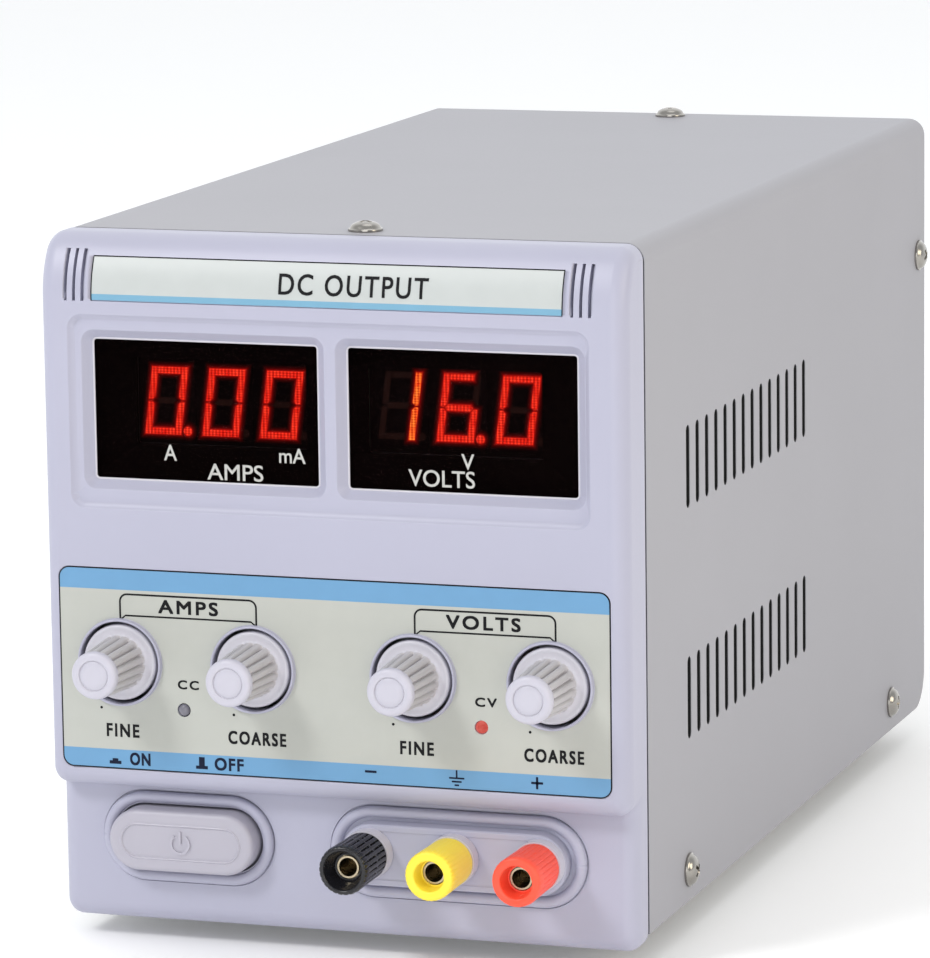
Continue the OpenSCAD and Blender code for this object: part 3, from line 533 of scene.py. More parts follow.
def text_solid(words, cx, cz, w, h, y, thickness=0.06, weight=0.12, spacing=1.0):
    """Lettering that fills w by h round cx, cz, its back at depth y; weight thickens the strokes."""
    curve = bpy.data.curves.new("words", "FONT")
    curve.body = words
    curve.extrude = 0.01
    curve.space_character = spacing
    curve.resolution_u = 4
    holder = bpy.data.objects.new("words", curve)
    bpy.context.scene.collection.objects.link(holder)
    mesh = bpy.data.meshes.new_from_object(holder.evaluated_get(bpy.context.evaluated_depsgraph_get()))
    bpy.data.objects.remove(holder)
    xs = [v.co.x for v in mesh.vertices]
    zs = [v.co.y for v in mesh.vertices]
    copies = []
    for index, (sx, sz) in enumerate(((-1, -1), (1, -1), (-1, 1), (1, 1))):
        bm = bmesh.new()
        bm.from_mesh(mesh)
        for v in bm.verts:
            fx = (v.co.x - min(xs)) / (max(xs) - min(xs)) - 0.5
            fz = (v.co.y - min(zs)) / (max(zs) - min(zs)) - 0.5
            depth = y - (thickness + 0.003 * index if v.co.z > 0 else 0)
            shift_x, shift_z = sx * weight / 2, sz * weight / 2
            v.co = place(cx + fx * (w - weight) + shift_x, depth, cz + fz * (h - weight) + shift_z)
        bmesh.ops.remove_doubles(bm, verts=bm.verts, dist=1e-7)
        copies.append(bm)
    bpy.data.meshes.remove(mesh)
    return joined_bm(copies)


def prism(outline, y, thickness):
    """A flat solid from an XZ outline, its back at depth y."""
    return loft([[place(x, y, z) for x, z in outline], [place(x, y - thickness, z) for x, z in outline]])


def joined_bm(parts):
    """Several bmeshes as one."""
    whole = bmesh.new()
    for part in parts:
        mesh = bpy.data.meshes.new("part")
        part.to_mesh(mesh)
        part.free()
        whole.from_mesh(mesh)
        bpy.data.meshes.remove(mesh)
    return whole


def finish_piece(obj, body, slot, *nodes):
    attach(obj, body)
    if nodes:
        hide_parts(*nodes)
    return obj


# ---------------------------------------------------------------- camera

AZIMUTH, ELEVATION, ROLL = math.radians(18.57), math.radians(9.85), math.radians(-0.78)
DISTANCE, TARGET = 1230.73, (9.79, 60.0, 90.12)
back = Vector(
    (math.sin(AZIMUTH) * math.cos(ELEVATION), -math.cos(AZIMUTH) * math.cos(ELEVATION), math.sin(ELEVATION))
)
level = (-back).cross(Vector((0, 0, 1))).normalized()
upright = level.cross(-back)
right = level * math.cos(ROLL) + upright * math.sin(ROLL)
up = upright * math.cos(ROLL) - level * math.sin(ROLL)
camera_data = bpy.data.cameras.new("camera")
camera_data.lens = 211.2
camera_data.sensor_width = 36.0
camera_data.clip_end = 10.0
camera = bpy.data.objects.new("camera", camera_data)
turn = Matrix((right, up, back)).transposed().to_4x4()
camera.matrix_world = Matrix.Translation(place(*TARGET) + back * DISTANCE * MM) @ turn
bpy.context.scene.collection.objects.link(camera)
bpy.context.scene.camera = camera

# ---------------------------------------------------------------- bezel

BACK_Y = BEZEL_D - SEAM
BROW_TURN = math.degrees(math.asin((CASE_H - BROW_Z - BROW_TOP_R) / (BROW_R - BROW_TOP_R)))
BROW_TOP_Y = BROW_R - (BROW_R - BROW_TOP_R) * math.cos(math.radians(BROW_TURN))


def upper_section(inset):
    return (
        [(BACK_Y, CASE_H - inset)]
        + arc(BROW_TOP_Y, CASE_H - BROW_TOP_R, BROW_TOP_R - inset, 90, 180 - BROW_TURN, 20)
        + arc(BROW_R, BROW_Z, BROW_R - inset, 180 - BROW_TURN, 180, 44)[1:]
        + arc(LOWER_EDGE_R, STEP_Z + LOWER_EDGE_R, LOWER_EDGE_R - inset, 180, 270, 10)
        + [(BACK_Y, STEP_Z + inset)]
    )


def lower_section(inset):
    return (
        [(BACK_Y, STEP_Z + 8), (STEP_D + inset, STEP_Z + 8)]
        + arc(STEP_D + BOTTOM_EDGE_R, BOTTOM_EDGE_R, BOTTOM_EDGE_R - inset, 180, 270, 10)
        + [(BACK_Y, inset)]
    )


def block(section):
    """A bezel block: the section run from side to side, drawn in round the upright edges."""
    turns = [math.radians(90 * i / 20) for i in range(21)]
    corner = [(HALF_W - SIDE_R * (1 - math.sin(a)), SIDE_R * (1 - math.cos(a))) for a in turns]
    beside_slots = [(BROW_X + side * x, 0.0) for side, x in ((-1, 58.8), (-1, 53.4), (1, 53.4), (1, 58.8))]
    slices = [(-x, inset) for x, inset in reversed(corner)] + beside_slots + corner
    return solid(loft([[place(x, y, z) for y, z in section(inset)] for x, inset in slices]))


def box_solid(x0, x1, y0, y1, z0, z1):
    corners = [(x0, z0), (x1, z0), (x1, z1), (x0, z1)]
    return solid(loft([[place(x, y1, z) for x, z in corners], [place(x, y0, z) for x, z in corners]]))


def brow_y(z):
    """Depth of the brow's face at a height."""
    return BROW_R - math.sqrt(BROW_R**2 - max(0.0, z - BROW_Z) ** 2)


def brow_band(x, width, depth, z0, z1):
    """A cutter that follows the brow's curve to a depth."""
    heights = [z0 + (z1 - z0) * i / 16 for i in range(17)]
    outline = [(brow_y(z) - 1.5, z) for z in heights] + [(brow_y(z) + depth, z) for z in reversed(heights)]
    return solid(loft([[place(x + s * width / 2, y, z) for y, z in outline] for s in (-1, 1)]))


def eased(y, slope, reach):
    """Sections of a pocket whose 45 degree wall starts with a soft edge at depth y."""
    steps = 4
    radius = reach / math.tan(math.radians(22.5))
    sections = [(reach, y - 1.0)]
    for i in range(steps + 1):
        a = math.radians(45 * i / steps)
        sections.append((reach - radius * math.sin(a), y + radius * (1 - math.cos(a))))
    sections.append((-slope, y + slope))
    return sections


def well_cutter(cx, cz, r, y0, y1, n=64):
    """A round cutter from depth y0 to depth y1."""
    return solid(turned([(r, y0), (r, y1)], cx, cz, n))


bezel = block(upper_section)
lower = block(lower_section)
boolean(bezel, [lower], "UNION")
inner = HALF_W - SKIN
hollows = [
    box_solid(-inner, inner, WALL, 20, STEP_Z + SKIN, BROW_Z - 2),
    box_solid(-inner, inner, 9, 20, BROW_Z - 3, CASE_H - SKIN),
    box_solid(-inner, inner, STEP_D + SKIN, 20, SKIN, STEP_Z + SKIN + 1),
]
pocket = solid(loft(plate_rings(POCKET_X, POCKET_Z, POCKET_W, POCKET_H, 3.3, eased(0.0, 1.25, 0.2), 10)))
window_cutters = []
for side in (-1, 1):
    sections = eased(1.25, 2.1, 0.16) + [(-2.1, 6.0)]
    window_cutters.append(
        solid(loft(plate_rings(side * WINDOW_X, WINDOW_Z, WINDOW_W + 4.2, WINDOW_H + 4.2, 2.9, sections, 8)))
    )
label_mid = LABEL_Z0 + LABEL_H / 2
label_cut = [(0, -3.0), (0, FILM_RECESS)]
label_cutter = solid(loft(plate_rings(LABEL_X, label_mid, LABEL_W + 0.5, LABEL_H + 0.5, 2.5, label_cut, 8)))
strip_cutter = brow_band(BROW_X, STRIP_W + 0.5, FILM_RECESS, BROW_Z - 0.25, STRIP_Z1 + 0.25)
slots = joined(
    "slots",
    [brow_band(BROW_X + s * x, 0.7, 2.2, BROW_Z - 0.3, STRIP_Z1 + 1.5) for s in (-1, 1) for x in SLOT_X],
    None,
)
wells = joined("wells", [well_cutter(x, KNOB_Z, KNOB_WELL_R, -3, 9) for x in KNOB_X], None)
lamp_holes = [well_cutter(x, LED_Z, LED_R + 0.15, -3, 9, 32) for x in LED_X]
post_holes = [well_cutter(x, POST_Z, POST_HOLE_R, 0, 12, 48) for x in POST_X]
holes = joined("holes", lamp_holes + post_holes, None)
button_hole = solid(loft(plate_rings(BUTTON_X, BUTTON_Z, 33.8, 14.2, 7.1, [(0, 2.0), (0, 12.0)], 20)))
film_cutters = [label_cutter, strip_cutter]
for cutters in (hollows, [pocket], window_cutters, film_cutters, [slots], [wells], [button_hole]):
    boolean(bezel, cutters, "DIFFERENCE")

# the raised plate under the posts, with its soft edge and thin groove
plate_edge = [(0.0, 8.3), (0.0, 2.6), (-0.1, 2.3), (-0.35, 2.06), (-0.7, 2.0)]
plate_groove = [(-1.35, 2.0), (-1.5, 2.12), (-1.75, 2.16), (-2.0, 2.16)]
plate = solid(
    loft(plate_rings(PLATE_X, PLATE_Z, PLATE_W, PLATE_H, PLATE_H / 2, plate_edge + plate_groove, 28))
)
boolean(plate, [well_cutter(x, POST_Z, POST_HOLE_R, 0.0, 12.0, 48) for x in POST_X], "DIFFERENCE")
boolean(bezel, [holes], "DIFFERENCE")

# collars round the knobs
lip = (
    [(8.9, 3.2), (8.9, -0.75)]
    + arc(9.17, -0.75, 0.27, 180, 360, 8)
    + [(9.47, -0.1), (9.52, 0.02), (9.62, 0.07), (9.62, 0.6), (9.3, 3.2)]
)
lips = [solid(turned(lip, x, KNOB_Z, 96, looped=True)) for x in KNOB_X]


def ridge(cx, cz, w, h, width, top):
    """A round-topped ridge along a stadium whose outer edge is w by h."""
    r = width / 2
    section = (
        [(-r - 0.1, STEP_D + 0.5), (-r - 0.05, STEP_D - 0.1)]
        + arc(0, top + r, r, 180, 360, 14)
        + [(r, STEP_D + 0.5)]
    )
    return solid(swept(section, cx, cz, w - width, h - width, h / 2 - r, 36))


def foot_groove(cx, cz, w, h):
    """A cutter for the narrow groove outside a ridge."""
    section = [(0.0, -1.0), (0.0, 0.4), (0.18, 0.4), (0.32, -0.02), (0.32, -1.0)]
    return solid(swept([(x, STEP_D + y) for x, y in section], cx, cz, w, h, h / 2, 36))


RIDGES = ((BUTTON_X, BUTTON_Z, 38.8, 19.6, 2.3), (PLATE_X, PLATE_Z, 57.0, 19.8, 2.4))
for cx, cz, w, h, width in RIDGES:
    boolean(bezel, [foot_groove(cx, cz, w, h)], "DIFFERENCE")
ridges = [ridge(cx, cz, w, h, width, 4.4) for cx, cz, w, h, width in RIDGES]
front_bezel = joined("bezel_shell", [bezel] + lips + ridges, MAT["bezel"])
finish_piece(front_bezel, "case", "bezel", "front_bezel")
post_plate = joined("post_plate", [plate], MAT["bezel"])
finish_piece(post_plate, "case", "bezel")

# ---------------------------------------------------------------- knobs

RIBS = 17


def ribbed(profile, cx, cz, samples, crest):
    """Rings of (radius, y, rib depth) rows; crest says how high on a rib, 0 to 1, each angle is."""
    angles = [2 * math.pi * i / samples for i in range(samples)]
    rings = []
    for r, y, rib in profile:
        reaches = [(a, r - rib * (1 - min(1.0, crest(a)))) for a in angles]
        rings.append([place(cx + q * math.cos(a), y, cz + q * math.sin(a)) for a, q in reaches])
    return rings


def knob(name, x):
    """A skirted knob with a tapering ribbed grip and a ring cut in its face."""
    profile = [
        (7.6, 1.7, 0),
        (8.1, 1.6, 0),
        (8.2, 1.4, 0),
        (8.2, -0.1, 0),
        (8.12, -0.4, 0),
        (7.9, -0.6, 0),
        (7.5, -0.72, 0),
        (7.2, -0.6, 0),
        (6.4, -0.6, 0),
        (6.0, -0.75, 0.1),
        (5.85, -1.2, 0.6),
        (5.75, -2.0, 0.95),
        (5.45, -8.0, 0.9),
        (5.15, -12.6, 0.8),
        (5.08, -13.2, 0.7),
        (4.98, -13.4, 0.1),
        (4.98, -13.6, 0.0),
        (5.1, -13.8, 0.0),
        (5.14, -14.3, 0.0),
        (5.08, -14.8, 0.0),
        (4.9, -15.2, 0.0),
        (4.55, -15.43, 0.0),
        (4.1, -15.5, 0.0),
        (3.5, -15.5, 0.0),
        (3.36, -15.44, 0.0),
        (3.28, -15.2, 0.0),
        (3.18, -15.1, 0.0),
        (3.08, -15.2, 0.0),
        (2.98, -15.3, 0.0),
        (1.5, -15.32, 0.0),
    ]
    rings = ribbed(profile, x, KNOB_Z, RIBS * 10, lambda a: 1.25 * abs(math.sin(RIBS * a / 2)) ** 0.8)
    return new_object(name, loft(rings), MAT["knob"], sharp=50)


for key, x in zip(KNOBS, KNOB_X):
    finish_piece(knob("grip_" + key, x), "control_" + key, "knob", "knob_" + key)

# ---------------------------------------------------------------- power button

FACE_Y = 0.5
rings = plate_rings(
    BUTTON_X,
    BUTTON_Z,
    BUTTON_W,
    BUTTON_H,
    BUTTON_H / 2,
    [
        (1.9, 13.4),
        (1.9, 12.2),
        (0.0, 12.2),
        (0.0, FACE_Y + 1.3),
        (-0.08, FACE_Y + 0.8),
        (-0.3, FACE_Y + 0.36),
        (-0.65, FACE_Y + 0.1),
        (-1.1, FACE_Y),
        (-1.5, FACE_Y),
        (-2.7, FACE_Y),
        (-2.8, FACE_Y - 0.14),
        (-3.0, FACE_Y - 0.26),
        (-3.2, FACE_Y - 0.14),
        (-3.32, FACE_Y + 0.1),
        (-3.5, FACE_Y + 0.1),
        (-6.2, FACE_Y + 0.1),
    ],
    32,
)
button_parts = [loft(rings)]
SYMBOL_R, SYMBOL_LINE, SYMBOL_GAP = 2.3, 0.5, 38
symbol_sweep = (90 + SYMBOL_GAP, 450 - SYMBOL_GAP)
outer_arc = arc(BUTTON_X, BUTTON_Z - 0.2, SYMBOL_R, *symbol_sweep, 28)
inner_arc = arc(BUTTON_X, BUTTON_Z - 0.2, SYMBOL_R - SYMBOL_LINE, *symbol_sweep, 28)
button_parts.append(prism(outer_arc + inner_arc[::-1], FACE_Y + 0.2, 0.5))
button_parts.append(prism(rounded(BUTTON_X, BUTTON_Z + 1.2, 0.5, 2.8, 0.22, 4), FACE_Y + 0.2, 0.5))
button = new_object("button_cap", joined_bm(button_parts), MAT["button"])
finish_piece(button, "button", "button", "power_button")

# ---------------------------------------------------------------- binding posts


def post_cap(name, x, ribs, rib_depth, middle_depth, collar_depth, mouth_r, material):
    """A screw cap: two rows of ribs on its barrel, a notched front edge and a stepped mouth."""
    profile = [
        (4.06, -1.3, 0),
        (4.95, -1.3, 0),
        (5.14, -1.42, 0),
        (5.2, -1.8, 0),
        (5.2, -2.1, rib_depth),
        (5.25, -6.6, rib_depth),
        (5.25, -6.9, middle_depth),
        (5.26, -7.6, middle_depth),
        (5.28, -7.9, rib_depth),
        (5.32, -11.9, rib_depth),
        (5.34, -12.3, collar_depth),
        (5.36, -13.9, collar_depth),
        (5.28, -14.4, collar_depth),
        (5.14, -14.75, collar_depth * 0.5),
        (4.9, -14.95, 0),
        (4.6, -15.0, 0),
        (mouth_r + 0.25, -14.97, 0),
        (mouth_r + 0.06, -14.8, 0),
        (mouth_r, -14.5, 0),
        (3.05, -11.3, 0),
        (2.9, -11.05, 0),
        (2.62, -11.0, 0),
        (2.62, -9.5, 0),
        (4.06, -9.5, 0),
    ]
    rings = ribbed(profile, x, POST_Z, ribs * 8, lambda a: 1.3 * abs(math.cos(ribs * a / 2)) ** 0.8)
    return new_object(name, loft(rings, looped=True), material, sharp=48)


CAPS = (
    ("negative", 26, 0.5, 0.08, 0.28, 4.15, "cap_black"),
    ("ground", 34, 0.05, 0.04, 0.16, 3.25, "cap_yellow"),
    ("positive", 30, 0.18, 0.05, 0.06, 3.45, "cap_red"),
)
for (key, ribs, rib_depth, middle_depth, collar_depth, mouth_r, finish), x in zip(CAPS, POST_X):
    cap = post_cap("cap_shell_" + key, x, ribs, rib_depth, middle_depth, collar_depth, mouth_r, MAT[finish])
    finish_piece(cap, "cap_" + key, finish, "post_cap_" + key)

# ---------------------------------------------------------------- displays

SEG_W, SEG_H, SEG_T, SEG_GAP = 8.1, 14.4, 1.32, 0.16
SLANT = 0.135
POINT_DX, POINT_DZ, POINT_W = 4.65, -6.45, 1.8
SEGMENT_BACK = DIGIT_FACE + 0.02
LIT = {"0": "abcdef", "1": "bc", "6": "acdefg"}


def segments():
    """Outlines of the seven segments of a digit whose lower left corner is the origin."""
    w, h, t, g = SEG_W, SEG_H, SEG_T, SEG_GAP
    mid = h / 2
    top = [(t + g, h), (w - t - g, h), (w - t - g, h - t), (t + g, h - t)]
    side = [(w, h), (w, mid + g * 2), (w - t / 2, mid + g), (w - t, mid + t / 2 + g), (w - t, h)]
    bar = [
        (t / 2 + g * 2, mid),
        (t + g, mid + t / 2),
        (w - t - g, mid + t / 2),
        (w - t / 2 - g * 2, mid),
        (w - t - g, mid - t / 2),
        (t + g, mid - t / 2),
    ]

    def over(points):
        return [(x, h - z) for x, z in points][::-1]

    def across(points):
        return [(w - x, z) for x, z in points][::-1]

    return {
        "a": top,
        "b": side,
        "c": over(side),
        "d": over(top),
        "e": over(across(side)),
        "f": across(side),
        "g": bar,
    }


def grown(points, by):
    """A convex outline, drawn clockwise, moved outward by a distance."""
    result = []
    count = len(points)
    for i in range(count):
        (ax, az), (bx, bz), (cx, cz) = points[i - 1], points[i], points[(i + 1) % count]
        u = Vector((bx - ax, bz - az)).normalized()
        v = Vector((cx - bx, cz - bz)).normalized()
        normals = Vector((-u.y, u.x)), Vector((-v.y, v.x))
        middle_way = (normals[0] + normals[1]).normalized()
        reach_out = min(by / max(middle_way.dot(normals[0]), 0.2), 2 * by)
        result.append((bx + middle_way.x * reach_out, bz + middle_way.y * reach_out))
    return result


def leaned(points, cx, cz):
    """Digit outline moved to its middle and slanted."""
    return [(cx + x - SEG_W / 2 + (z - SEG_H / 2) * SLANT, cz + z - SEG_H / 2) for x, z in points]


def digits(label, cx, cz, words, point_after, tints):
    """Three digits as lit and unlit segments; point_after is the digit that shows its decimal point."""
    layers = {}
    for index, character in enumerate(words):
        at = cx + (index - 1) * DIGIT_PITCH
        outlines = [(key in LIT[character], leaned(points, at, cz)) for key, points in segments().items()]
        point = rounded(at + POINT_DX, cz + POINT_DZ, POINT_W, POINT_W, 0.89, 6)[::-1]
        outlines.append((index == point_after, point))
        for is_lit, outline in outlines:
            if not is_lit:
                layers.setdefault("digit_off", []).append(prism(outline, SEGMENT_BACK, 0.06))
                continue
            layers.setdefault(tints[index], []).append(prism(outline, SEGMENT_BACK, 0.3))
            for halo_reach, _ in HALOS:
                ring = prism(grown(outline, halo_reach), SEGMENT_BACK, 0.28 - 0.2 * halo_reach)
                layers.setdefault("halo_%.2f" % halo_reach, []).append(ring)
    for finish, shapes in layers.items():
        obj = new_object("%s_%s" % (finish, label), joined_bm(shapes), MAT[finish], weighted=False)
        finish_piece(obj, "case", "led_red")


digits("current", -DIGITS_X, DIGITS_Z, "000", 0, ["digit_red"] * 3)
digits("voltage", DIGITS_X + 0.4, DIGITS_Z + 0.85, "160", 1, ["digit_orange", "digit_red", "digit_red"])

# a black sheet behind the panes, open only over the digit blocks: painted shade for the dark space behind
# the windows
mask = box_solid(-60, 60, 5.6, 6.6, 93.5, 131.5)
opening_sizes = (DIGITS_Z, 38.4, 18.6, 0.6, [(0, 4.0), (0, 8.0)], 4)
openings = [solid(loft(plate_rings(side * DIGITS_X, *opening_sizes))) for side in (-1, 1)]
boolean(mask, openings, "DIFFERENCE")
mask.name = "display_painted_shade"
mask.data.materials.clear()
mask.data.materials.append(MAT["face_black"])
finish_piece(mask, "case", "black_plastic")

CAPTION_Y = WALL + 0.01
captions = [
    ("A", -36.9, 103.4, 2.9, 3.4),
    ("mA", -9.4, 103.8, 5.9, 3.2),
    ("AMPS", -22.3, 99.7, 12.6, 3.5),
    ("V", 29.5, 104.1, 2.8, 3.3),
    ("VOLTS", 23.7, 100.3, 14.6, 3.6),
]
caption_parts = [text_solid(*caption, CAPTION_Y, thickness=0.05, weight=0.06) for caption in captions]
# white print on the panes, shown by painted glow
caption_obj = new_object("window_captions", joined_bm(caption_parts), MAT["caption"], weighted=False)
finish_piece(caption_obj, "case", "white_plastic")

# a thin bead round each window, where the pocket meets the pane; it catches the light, and its lighter knob
# plastic adds a painted highlight along the window's edge
bead = arc(0, WALL - 0.1, 0.24, 0, 315, 7)
beads = [swept(bead, side * WINDOW_X, WINDOW_Z, WINDOW_W + 0.1, WINDOW_H + 0.1, 0.9, 8) for side in (-1, 1)]
bead_obj = new_object("window_beads", joined_bm(beads), MAT["knob"], weighted=False)
finish_piece(bead_obj, "case", "bezel")

# ---------------------------------------------------------------- printing on the control label

INK_Y, INK_T = 0.06, 0.05


def line(points, width):
    """A drawn line through points, as one flat strip."""
    left, right_side = [], []
    for i, (x, z) in enumerate(points):
        x0, z0 = points[max(i - 1, 0)]
        x1, z1 = points[min(i + 1, len(points) - 1)]
        length = math.hypot(x1 - x0, z1 - z0)
        nx, nz = -(z1 - z0) / length * width / 2, (x1 - x0) / length * width / 2
        left.append((x + nx, z + nz))
        right_side.append((x - nx, z - nz))
    return prism(left + right_side[::-1], INK_Y, INK_T)


def bracket(sign):
    """The frame round a group's word: a rounded top line, a lower line and two legs."""
    a, b = (-47.9, -17.0) if sign < 0 else (18.4, 49.3)
    r = 1.6
    top = [(a, 67.0)] + arc(a + r, 73.0 - r, r, 180, 90, 6) + arc(b - r, 73.0 - r, r, 90, 0, 6) + [(b, 67.0)]
    under = [(a, 67.4), (a + 1.2, 68.4), (b - 1.2, 68.4), (b, 67.4)]
    return [line(top, 0.4), line(under, 0.36)]


ink = bracket(-1) + bracket(1)
for words, x, z, width, tall in [
    ("AMPS", -32.4, 70.7, 13.6, 3.0),
    ("VOLTS", 33.5, 70.7, 16.4, 3.0),
    ("FINE", -47.9, 43.3, 7.5, 2.9),
    ("COARSE", -17.3, 43.2, 13.1, 2.9),
    ("FINE", 18.5, 43.2, 7.5, 2.9),
    ("COARSE", 48.7, 43.2, 13.1, 2.9),
    ("CC", -32.7, 54.0, 4.8, 2.0),
    ("CV", 33.9, 53.9, 4.8, 2.0),
]:
    ink.append(text_solid(words, x, z, width, tall, INK_Y, INK_T, 0.07 * tall, 1.25))
for x in KNOB_X:
    ink.append(prism(rounded(x - 4.6, KNOB_Z - 10.1, 0.6, 0.6, 0.29, 4), INK_Y, INK_T))
ink_obj = new_object("label_ink", joined_bm(ink), MAT["ink"], weighted=False)
finish_piece(ink_obj, "case", "black_plastic")

blue_ink = []
for words, x, z, width, tall in [("ON", -44.1, 37.2, 4.7, 2.8), ("OFF", -23.8, 37.2, 6.6, 2.8)]:
    blue_ink.append(text_solid(words, x, z, width, tall, INK_Y, INK_T, 0.2, 1.15))

# bars of the small signs, as middle x and z, width and height: switch in and out, minus, plus, ground
SIGN_BARS = []
for x, key_height in ((-49.8, 0.5), (-30.0, 1.9)):
    SIGN_BARS += [(x, 36.25, 2.7, 0.7), (x, 36.6 + key_height / 2, 1.3, key_height)]
SIGN_BARS += [(8.1, 37.6, 2.6, 0.5), (44.9, 37.3, 2.6, 0.5), (44.9, 37.3, 0.5, 2.6)]
SIGN_BARS += [(27.2, 37.3 - 0.75 * i, width, 0.36) for i, width in enumerate((3.4, 2.2, 1.0))]
SIGN_BARS += [(27.2, 38.2, 0.36, 1.7)]
for x, z, width, tall in SIGN_BARS:
    blue_ink.append(prism(rounded(x, z, width, tall, 0.1, 2), INK_Y, INK_T))
blue_obj = new_object("label_ink_blue", joined_bm(blue_ink), MAT["ink_blue"], weighted=False)
finish_piece(blue_obj, "case", "black_plastic")

# a dark line all round the control label, in black ink: painted shadow at the edge of its shallow recess
edge_shadow_section = [(0.12, 0.36), (0.12, 0.0), (-0.1, 0.0), (-0.1, 0.36)]
rim = swept(edge_shadow_section, LABEL_X, label_mid, LABEL_W, LABEL_H, 2.3, 8)
edge_shadow_obj = new_object("label_painted_shadow", rim, MAT["ink"], weighted=False)
finish_piece(edge_shadow_obj, "case", "black_plastic")

# ---------------------------------------------------------------- title strip


def drape(bm, depth):
    """Lays flat print onto the brow's curve, depth behind its face."""
    z = BROW_Z - 0.5
    while z < STRIP_Z1 + 0.5:
        geometry = bm.verts[:] + bm.edges[:] + bm.faces[:]
        bmesh.ops.bisect_plane(bm, geom=geometry, plane_co=place(0, 0, z), plane_no=(0, 0, 1))
        z += 0.6
    for v in bm.verts:
        v.co.y += (brow_y((v.co.z - BASE_Z) / MM) + depth) * MM
    return bm


title = drape(text_solid("DC OUTPUT", 5.8, 140.6, 33.0, 4.4, 0.05, 0.07, 0.1, 1.15), 0.0)
title_obj = new_object("title_ink", title, MAT["ink"], weighted=False)
finish_piece(title_obj, "case", "black_plastic")
strip_mid = (BROW_Z + STRIP_Z1) / 2
# dark lines along the top and ends of the title strip, in black ink: painted shadow at the edge of its
# recess
strip_shadow_lines = [prism(rounded(BROW_X, STRIP_Z1 + 0.1, STRIP_W + 0.4, 0.22, 0.1, 2), 0.3, 0.28)]
for side in (-1, 1):
    edge = rounded(BROW_X + side * (STRIP_W / 2 + 0.1), strip_mid, 0.22, STRIP_Z1 - BROW_Z + 0.3, 0.1, 2)
    strip_shadow_lines.append(prism(edge, 0.3, 0.28))
strip_shadow_obj = new_object("title_painted_shadow", drape(joined_bm(strip_shadow_lines), 0.0), MAT["ink"], weighted=False)
finish_piece(strip_shadow_obj, "case", "black_plastic")

# ---------------------------------------------------------------- cover screws


def screw_head():
    """A pan head with a cross recess, its seat at the origin and its top toward +Z."""
    profile = [(3.7, 0.0), (3.75, 0.25), (3.7, 0.5), (3.45, 0.62)]
    for a in map(math.radians, (5, 20, 35, 50, 65, 80)):
        profile.append((3.25 * math.cos(a), 0.75 + 1.4 * math.sin(a)))
    rings = [[Vector((x, y, z)) * MM for x, y in arc(0, 0, r, 0, 352.5, 47)] for r, z in profile]
    head = solid(loft(rings))
    cutters = []
    for turned_by in (45, 135):
        turning = Matrix.Rotation(math.radians(turned_by), 3, "Z")
        slot = []
        for z, half, wide in ((0.9, 0.7, 0.3), (2.4, 2.0, 0.48)):
            corners = [(-half, -wide), (half, -wide), (half, wide), (-half, wide)]
            slot.append([turning @ Vector((x, y, z)) * MM for x, y in corners])
        cutters.append(solid(loft(slot)))
    boolean(head, cutters, "DIFFERENCE")
    return head


def screw_places():
    """Seats and directions of the cover screws, from the CAD node's separate solids."""
    top_reach = 0.05
    bm = bmesh.new()
    bm.from_mesh(NODES["cover_screws"].data)
    bmesh.ops.remove_doubles(bm, verts=bm.verts, dist=1e-6)
    left = set(bm.verts)
    found = []
    while left:
        stack, island = [left.pop()], []
        while stack:
            v = stack.pop()
            island.append(v.co.copy())
            for e in v.link_edges:
                w = e.other_vert(v)
                if w in left:
                    left.discard(w)
                    stack.append(w)
        low = [min(c[i] for c in island) for i in range(3)]
        high = [max(c[i] for c in island) for i in range(3)]
        mid = [(a + b) / 2 for a, b in zip(low, high)]
        if mid[0] > top_reach:
            found.append((Vector((HALF_W * MM, mid[1], mid[2])), Vector((1, 0, 0))))
        elif mid[0] < -top_reach:
            found.append((Vector((-HALF_W * MM, mid[1], mid[2])), Vector((-1, 0, 0))))
        else:
            found.append((Vector((mid[0], mid[1], BASE_Z + CASE_H * MM)), Vector((0, 0, 1))))
    bm.free()
    return sorted(found, key=lambda item: tuple(item[0]))


head = screw_head()
screw_bm = bmesh.new()
for index, (seat, direction) in enumerate(screw_places()):
    copy = head.data.copy()
    spin = Matrix.Rotation(math.radians(37 * index), 4, "Z")
    copy.transform(Matrix.Translation(seat) @ direction.to_track_quat("Z", "Y").to_matrix().to_4x4() @ spin)
    screw_bm.from_mesh(copy)
    bpy.data.meshes.remove(copy)
bpy.data.objects.remove(head)
screws = new_object("cover_screw_heads", screw_bm, MAT["screw"])
finish_piece(screws, "case", "screw", "cover_screws")

# ---------------------------------------------------------------- indicator lamps

for key, x, finish in (("current", LED_X[0], "led_grey"), ("voltage", LED_X[1], "led_red")):
    dome = [(1.9, 6.0), (1.9, 5.0), (LED_R, 5.0), (LED_R, 0.4)]
    for a in map(math.radians, (15, 30, 45, 60, 75, 86)):
        dome.append((LED_R * math.cos(a), 0.4 - 0.9 * math.sin(a)))
    lamp = new_object("lamp_" + key, turned(dome, x, LED_Z, 40), MAT[finish])
    finish_piece(lamp, "case", finish, "led_constant_" + key)

# ---------------------------------------------------------------- carried-over CAD nodes

